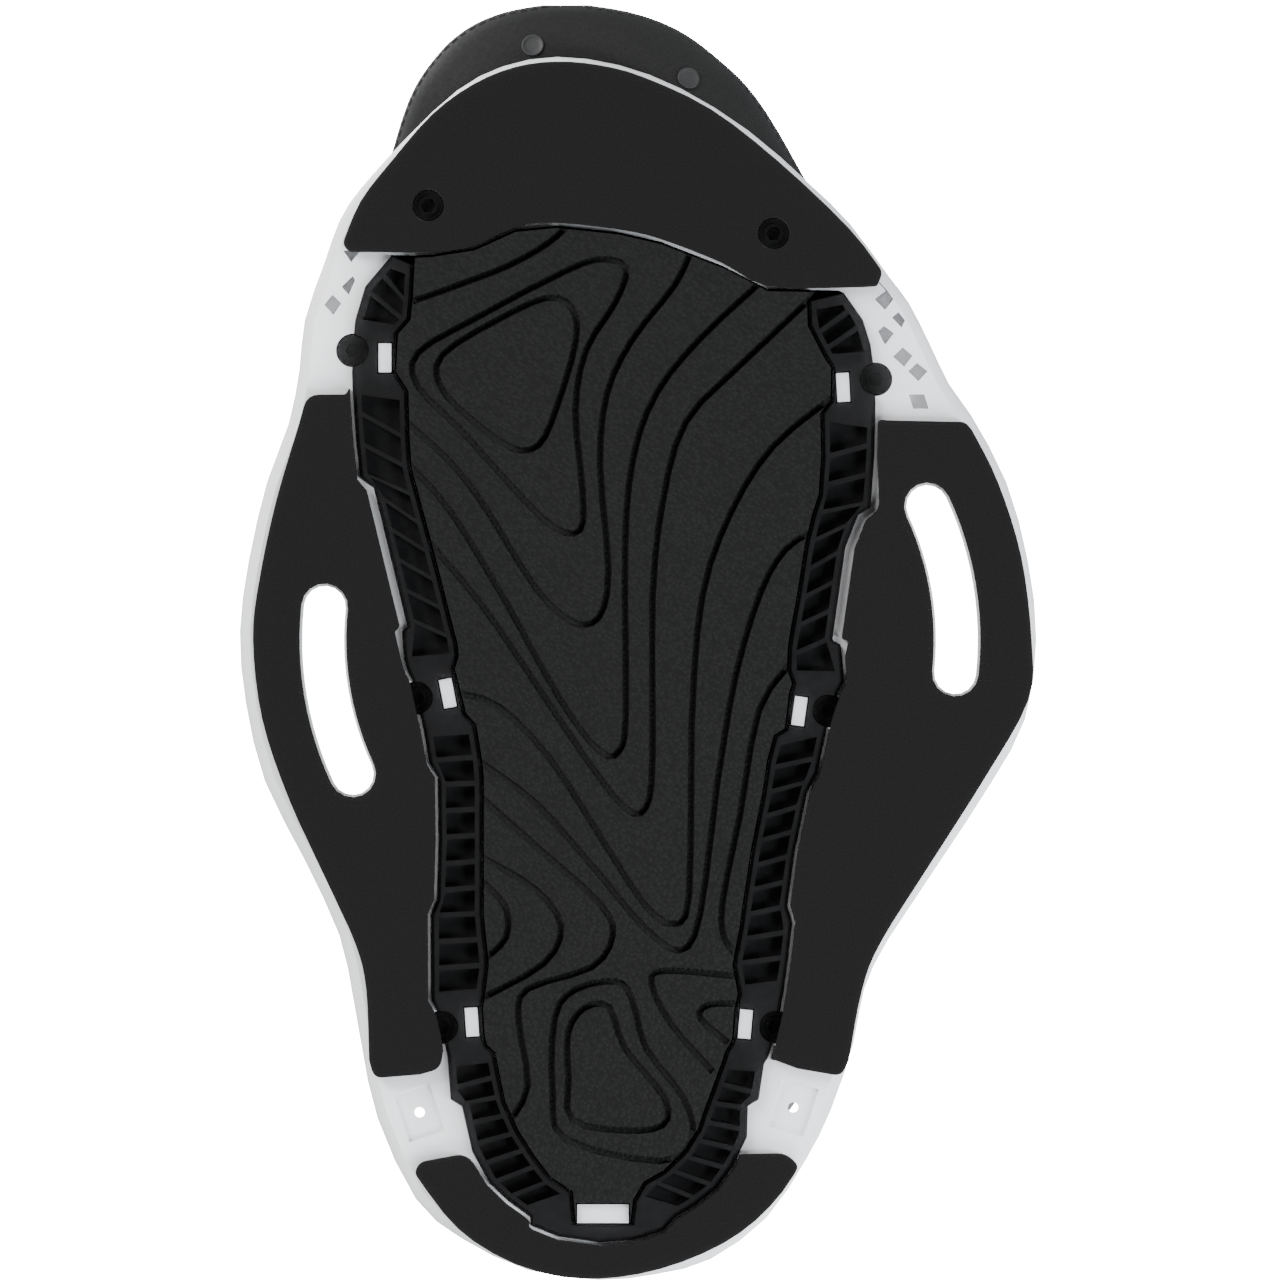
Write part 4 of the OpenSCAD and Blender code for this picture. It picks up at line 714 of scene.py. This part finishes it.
def overlays():
    for side, word in ((-1, "medial"), (1, "lateral")):
        flip = (lambda t: t) if side < 0 else (lambda t: 1 - t)

        def stay(u, v, side=side, flip=flip):
            s = span(*EYESTAY_S)(u)
            return s, mirrored(throat(s) + EYESTAY_GAP + EYESTAY_W * flip(v), side)

        panel(f"eyestay_{word}_panel", stay, (0.35, EYESTAY_T), M_PANEL, ns=70, na=12,
              edge=0.5, replaces=(f"eyestay_{word}",))
        for k, inset in enumerate((EYESTAY_STITCH_IN, EYESTAY_W - EYESTAY_STITCH_IN)):
            place = lambda t, side=side, inset=inset: (
                span(EYESTAY_S[0] + 0.1, EYESTAY_S[1] - 0.1)(t),
                mirrored(throat(span(*EYESTAY_S)(t)) + EYESTAY_GAP + inset, side),
            )
            seam(f"eyestay_{word}_stitches_{k + 1}", place, EYESTAY_T, material=M_THREAD, slot="stay_leather")

        # Side overlay that ties the eyestay to the heel
        def ankle(u, v, side=side, flip=flip):
            s = 10.6 + 3.6 * u + 0.9 * np.sin(np.pi * v) * (1 - u)
            a = throat(s) + ANKLE_A[0] + (ANKLE_A[1] - throat(s) - ANKLE_A[0]) * flip(v)
            return s, mirrored(a, side)

        panel(f"ankle_panel_{word}", ankle, PANEL_LIFT, M_PANEL, ns=40, na=60, edge=0.45)
        for k, u0 in enumerate((0.06, 0.94)):
            place = lambda t, ankle=ankle, u0=u0: ankle(u0 * np.ones_like(t), 0.03 + 0.94 * t)
            seam(f"ankle_{word}_stitches_{k + 1}", place, PANEL_LIFT[1], material=M_THREAD,
                 slot="shell_leather")

        # Rubber rand along the sole's edge
        def rand(u, v, side=side, flip=flip):
            return span(*RAND_S)(u), mirrored(span(*RAND_A)(flip(v)), side)

        panel(f"rand_{word}", rand, (0.05, 1.5), M_BUMPER, ns=80, na=10, edge=0.5)
        place = lambda t, side=side: (
            span(*RAND_SEAM_S)(t),
            mirrored(RAND_SEAM_A * np.ones_like(t), side),
        )
        seam(f"rand_{word}_stitches", place, 1.5, material=M_DARK_THREAD, slot="bumper_rubber")

        # A plain light patch above the ankle, wider at its top
        def flash(u, v, side=side, flip=flip):
            s = span(*FLASH_S)(u)
            a = 76 + 8 * u + (16 + 13 * u) * flip(v)
            return s, mirrored(a, side)

        panel(f"side_flash_{word}", flash, (0.05, 0.9), M_ACCENT, ns=30, na=16, edge=0.35)

    counter = lambda u, v: (span(*COUNTER_S)(u), span(*COUNTER_A)(v))
    panel("heel_counter_cup", counter, (0.3, 2.2), M_COUNTER, ns=40, na=60, edge=0.8,
          replaces=("heel_counter",))
    for k, (s0, s1) in enumerate(HEEL_RIBS_S):
        rib = lambda u, v, s0=s0, s1=s1: (span(s0, s1)(u), span(*HEEL_RIBS_A)(v))
        panel(f"heel_rib_{k + 1}", rib, (2.1, 2.9), M_COUNTER, ns=6, na=40, edge=0.3)

    # Padded collar round the cuff
    def collar(u, v):
        s = span(COLLAR_S0, CUFF_S - 0.02)(u)
        g = throat(s)
        return s, 90 + g + 1.5 + (360 - 2 * g - 3) * v

    panel("cuff_collar", collar, (0.05, 0.9), M_PANEL, ns=12, na=140, edge=0.4,
          crown=1.2)
    place = lambda t: collar(np.full_like(t, 0.08), 0.01 + 0.98 * t)
    seam("collar_stitches", place, 1.5, 300, material=M_THREAD, slot="stay_leather")

    # Seam band where the vamp meets the quarters
    band = lambda u, v: (span(*VAMP_BAND_S)(u), span(*VAMP_BAND_A)(v))
    panel("vamp_band", band, (0.05, 1.2), M_PANEL, ns=8, na=110, edge=0.4)
    for k, u0 in enumerate((0.18, 0.82)):
        place = lambda t, u0=u0: band(u0 * np.ones_like(t), t)
        seam(f"vamp_band_stitches_{k + 1}", place, 1.2, 200, material=M_THREAD, slot="shell_leather")

    # Stay down the back of the cuff, with a seam 2 degrees in from each edge
    back = lambda u, v: (span(*BACK_STAY_S)(u), span(*BACK_STAY_A)(v))
    panel("back_stay", back, PANEL_LIFT, M_PANEL, ns=40, na=14, edge=0.45)
    for k, a0 in enumerate((BACK_STAY_A[0] + 2, BACK_STAY_A[1] - 2)):
        place = lambda t, a0=a0: (
            span(BACK_STAY_S[0] + 0.05, BACK_STAY_S[1] - 0.05)(t),
            np.full_like(t, a0),
        )
        seam(f"back_stay_stitches_{k + 1}", place, PANEL_LIFT[1], material=M_THREAD, slot="stay_leather")


# ---------------------------------------------------------------- closure
def closure_pieces():
    keep_node("eyestay_rivets", M_STEEL, 0.0004, 3)
    keep_node("wire_guides_medial", M_GUIDE, 0.0, flat=0)
    keep_node("wire_guides_lateral", M_GUIDE, 0.0, flat=0)
    keep_node("closure_wire", M_WIRE, 0.0, flat=0)
    keep_node("dial_base", M_DIAL, 0.0003)
    keep_node("dial_ratchet", M_SPOOL, 0.0001, 1)
    keep_node("dial_spool", M_SPOOL, 0.0002)
    keep_node("dial_knob", M_DIAL, 0.0004, 3)
    keep_node("dial_screw", M_STEEL, 0.0002)
    keep_node("strap_anchor", M_COUNTER, 0.0005, 3)
    keep_node("strap_pin", M_STEEL, 0.0002)
    keep_node("strap_barrel", M_COUNTER, 0.0004, 3)


STRAP_S = 18.05
STRAP_HALF = (0.72, 0.386)
STRAP_LIFT = (2.4, 4.8)
STRAP_A = (6, 173)
STRAP_SEAM_A = (16, 170)
STRAP_BOX_A = (150, 164)
PATCH_A = (-8, 46)
TAB_A = (9, 24)
TAB_REACH = 0.65
TAB_TOP = STRAP_LIFT[1] + 1.0
RIB_REACH = 0.55
RIB_A0 = 11.5
RIB_PITCH = 3.2
RIB_W = 1.2
LOOP_START_Y = 0.1400
LOOP_END_Y = 0.1576


def band_station(t, a, fill=1.0):
    """Station at t, from -1 to 1 across the strap, which is wider in stations at the front and back."""
    half = STRAP_HALF[1] + (STRAP_HALF[0] - STRAP_HALF[1]) * np.sin(np.radians(a)) ** 2
    return STRAP_S + t * fill * half


def strap_pieces():
    def strap(u, v):
        a = span(*STRAP_A)(v)
        # The free end is rounded
        taper = np.clip((a - STRAP_A[0]) / 7, 0, 1)
        fill = 0.55 + 0.45 * np.sqrt(1 - (1 - taper) ** 2)
        return band_station(2 * u - 1, a) * fill + STRAP_S * (1 - fill), a

    panel("power_strap_band", strap, STRAP_LIFT, M_STRAP, "strap", ns=22, na=150, edge=0.6,
          replaces=("power_strap",))
    for k, t0 in enumerate((-0.88, 0.88)):
        place = lambda t, t0=t0: (band_station(t0, span(*STRAP_SEAM_A)(t)), span(*STRAP_SEAM_A)(t))
        seam(f"strap_stitches_{k + 1}", place, STRAP_LIFT[1], 200, material=M_THREAD,
             slot="strap_webbing", body="strap")
    for k, a0 in enumerate(STRAP_BOX_A):
        place = lambda t, a0=a0: (
            band_station(span(-0.8, 0.8)(t), np.full_like(t, a0)),
            np.full_like(t, a0),
        )
        seam(f"strap_box_stitches_{k + 1}", place, STRAP_LIFT[1], 30, material=M_THREAD,
             slot="strap_webbing", body="strap")
    tab = lambda u, v: (band_station(span(-TAB_REACH, TAB_REACH)(u), span(*TAB_A)(v)), span(*TAB_A)(v))
    panel("strap_tab", tab, (STRAP_LIFT[1] - 0.1, TAB_TOP + 0.1), M_BUMPER, "strap",
          ns=12, na=20, edge=0.45)
    for k in range(4):
        def rib(u, v, k=k):
            a = RIB_A0 + RIB_PITCH * k + RIB_W * u
            return band_station(span(-RIB_REACH, RIB_REACH)(v), a), a

        panel(f"strap_tab_rib_{k + 1}", rib, (TAB_TOP, TAB_TOP + 0.6), M_BUMPER,
              "strap", ns=4, na=14, edge=0.25)
    hooks = lambda u, v: (band_station(2 * u - 1, span(*PATCH_A)(v), 0.86), span(*PATCH_A)(v))
    panel("strap_hook_tape", hooks, (0.1, 1.9), M_HOOK, ns=20, na=40, edge=0.3,
          replaces=("strap_patch",))
    for word in ("heel", "tongue"):
        loop = remade(f"{word}_loop_webbing", f"{word}_pull_loop", M_STRAP, "boot",
                      0.0006, 3, 50)
        if word == "heel":
            pull_in(loop, LOOP_START_Y, LOOP_END_Y)


# ---------------------------------------------------------------- studio
CAMERA_D = 5.5
SENSOR = 36
FIELD_W = 0.3075
SOFT_LIGHT = 0.9
SWEEP = 24.0
AIM = (0, 0, 0.05)
PALE_BLUE = (0.92, 0.96, 1.0)
# Name, place, size, power and colour
AREA_LIGHTS = (
    ("under_left", (-1.1, -0.9, -0.8), (0.5, 0.9), 32, (1, 1, 1)),
    ("under_right", (1.1, 0.5, -0.8), (0.3, 1.1), 26, PALE_BLUE),
    ("under_heel", (0.1, 1.3, -0.9), (0.9, 0.3), 10, (1, 1, 1)),
    ("over_left", (-1.0, -0.9, 1.3), (0.8, 0.8), 16, (1, 1, 1)),
    ("over_back", (0.9, 1.0, 1.2), (0.7, 0.7), 12, (1, 1, 1)),
)
FLOOR_HALF = 3.0
FLOOR_Z = -0.0004


def studio():
    scene = bpy.context.scene
    world = bpy.data.worlds.new("studio")
    scene.world = world
    world.use_nodes = True
    tree = world.node_tree
    soft = tree.nodes["Background"]
    soft.inputs["Color"].default_value = (0.94, 0.97, 1.0, 1)
    soft.inputs["Strength"].default_value = SOFT_LIGHT
    # The backdrop is a lit white sweep, brighter than the light it gives the object
    sweep = tree.nodes.new("ShaderNodeBackground")
    sweep.inputs["Color"].default_value = (1.0, 1.0, 1.0, 1)
    sweep.inputs["Strength"].default_value = SWEEP
    mix = tree.nodes.new("ShaderNodeMixShader")
    path = tree.nodes.new("ShaderNodeLightPath")
    tree.links.new(path.outputs["Is Camera Ray"], mix.inputs["Fac"])
    tree.links.new(soft.outputs["Background"], mix.inputs[1])
    tree.links.new(sweep.outputs["Background"], mix.inputs[2])
    tree.links.new(mix.outputs["Shader"], tree.nodes["World Output"].inputs["Surface"])

    camera_data = bpy.data.cameras.new("camera")
    camera_data.sensor_width = SENSOR
    camera_data.lens = SENSOR * CAMERA_D / FIELD_W
    camera_data.clip_end = 20
    camera = bpy.data.objects.new("camera", camera_data)
    scene.collection.objects.link(camera)
    # Below the board's plane, looking straight up, with the toe at the top of the picture
    camera.matrix_world = Matrix.Translation((0, 0, -CAMERA_D)) @ Matrix.Rotation(math.pi, 4, "X")
    scene.camera = camera

    for name, at, size, power, color in AREA_LIGHTS:
        light = bpy.data.lights.new(name, "AREA")
        light.shape = "RECTANGLE"
        light.size, light.size_y = size
        light.energy = power
        light.color = color
        obj = bpy.data.objects.new(name, light)
        scene.collection.objects.link(obj)
        obj.location = at
        obj.rotation_euler = (Vector(AIM) - Vector(at)).to_track_quat("-Z", "Y").to_euler()

    # The floor is seen from above only, so that the underside stays in view from below
    floor_mesh = bpy.data.meshes.new("floor")
    r = FLOOR_HALF
    floor_mesh.from_pydata([(-r, -r, 0), (r, -r, 0), (r, r, 0), (-r, r, 0)], [], [(0, 1, 2, 3)])
    floor = bpy.data.objects.new("floor", floor_mesh)
    floor.location = (0, 0, FLOOR_Z)
    scene.collection.objects.link(floor)
    n = Nodes("floor_pale", (0.82, 0.82, 0.82), 0.75)
    n.color_by(n.noise(3, 3), [(0.3, (0.80, 0.80, 0.80)), (0.7, (0.84, 0.84, 0.84))])
    clear = n.add("ShaderNodeBsdfTransparent")
    mix = n.add("ShaderNodeMixShader")
    n.link(n.add("ShaderNodeNewGeometry").outputs["Backfacing"], mix.inputs["Fac"])
    n.link(n.shader.outputs[0], mix.inputs[1])
    n.link(clear.outputs[0], mix.inputs[2])
    n.link(mix.outputs[0], n.tree.nodes["Material Output"].inputs["Surface"])
    floor_mesh.materials.append(n.material)
    floor.visible_shadow = False


sole_pieces()
toe_pieces()
upper_pieces()
closure_pieces()
strap_pieces()
studio()
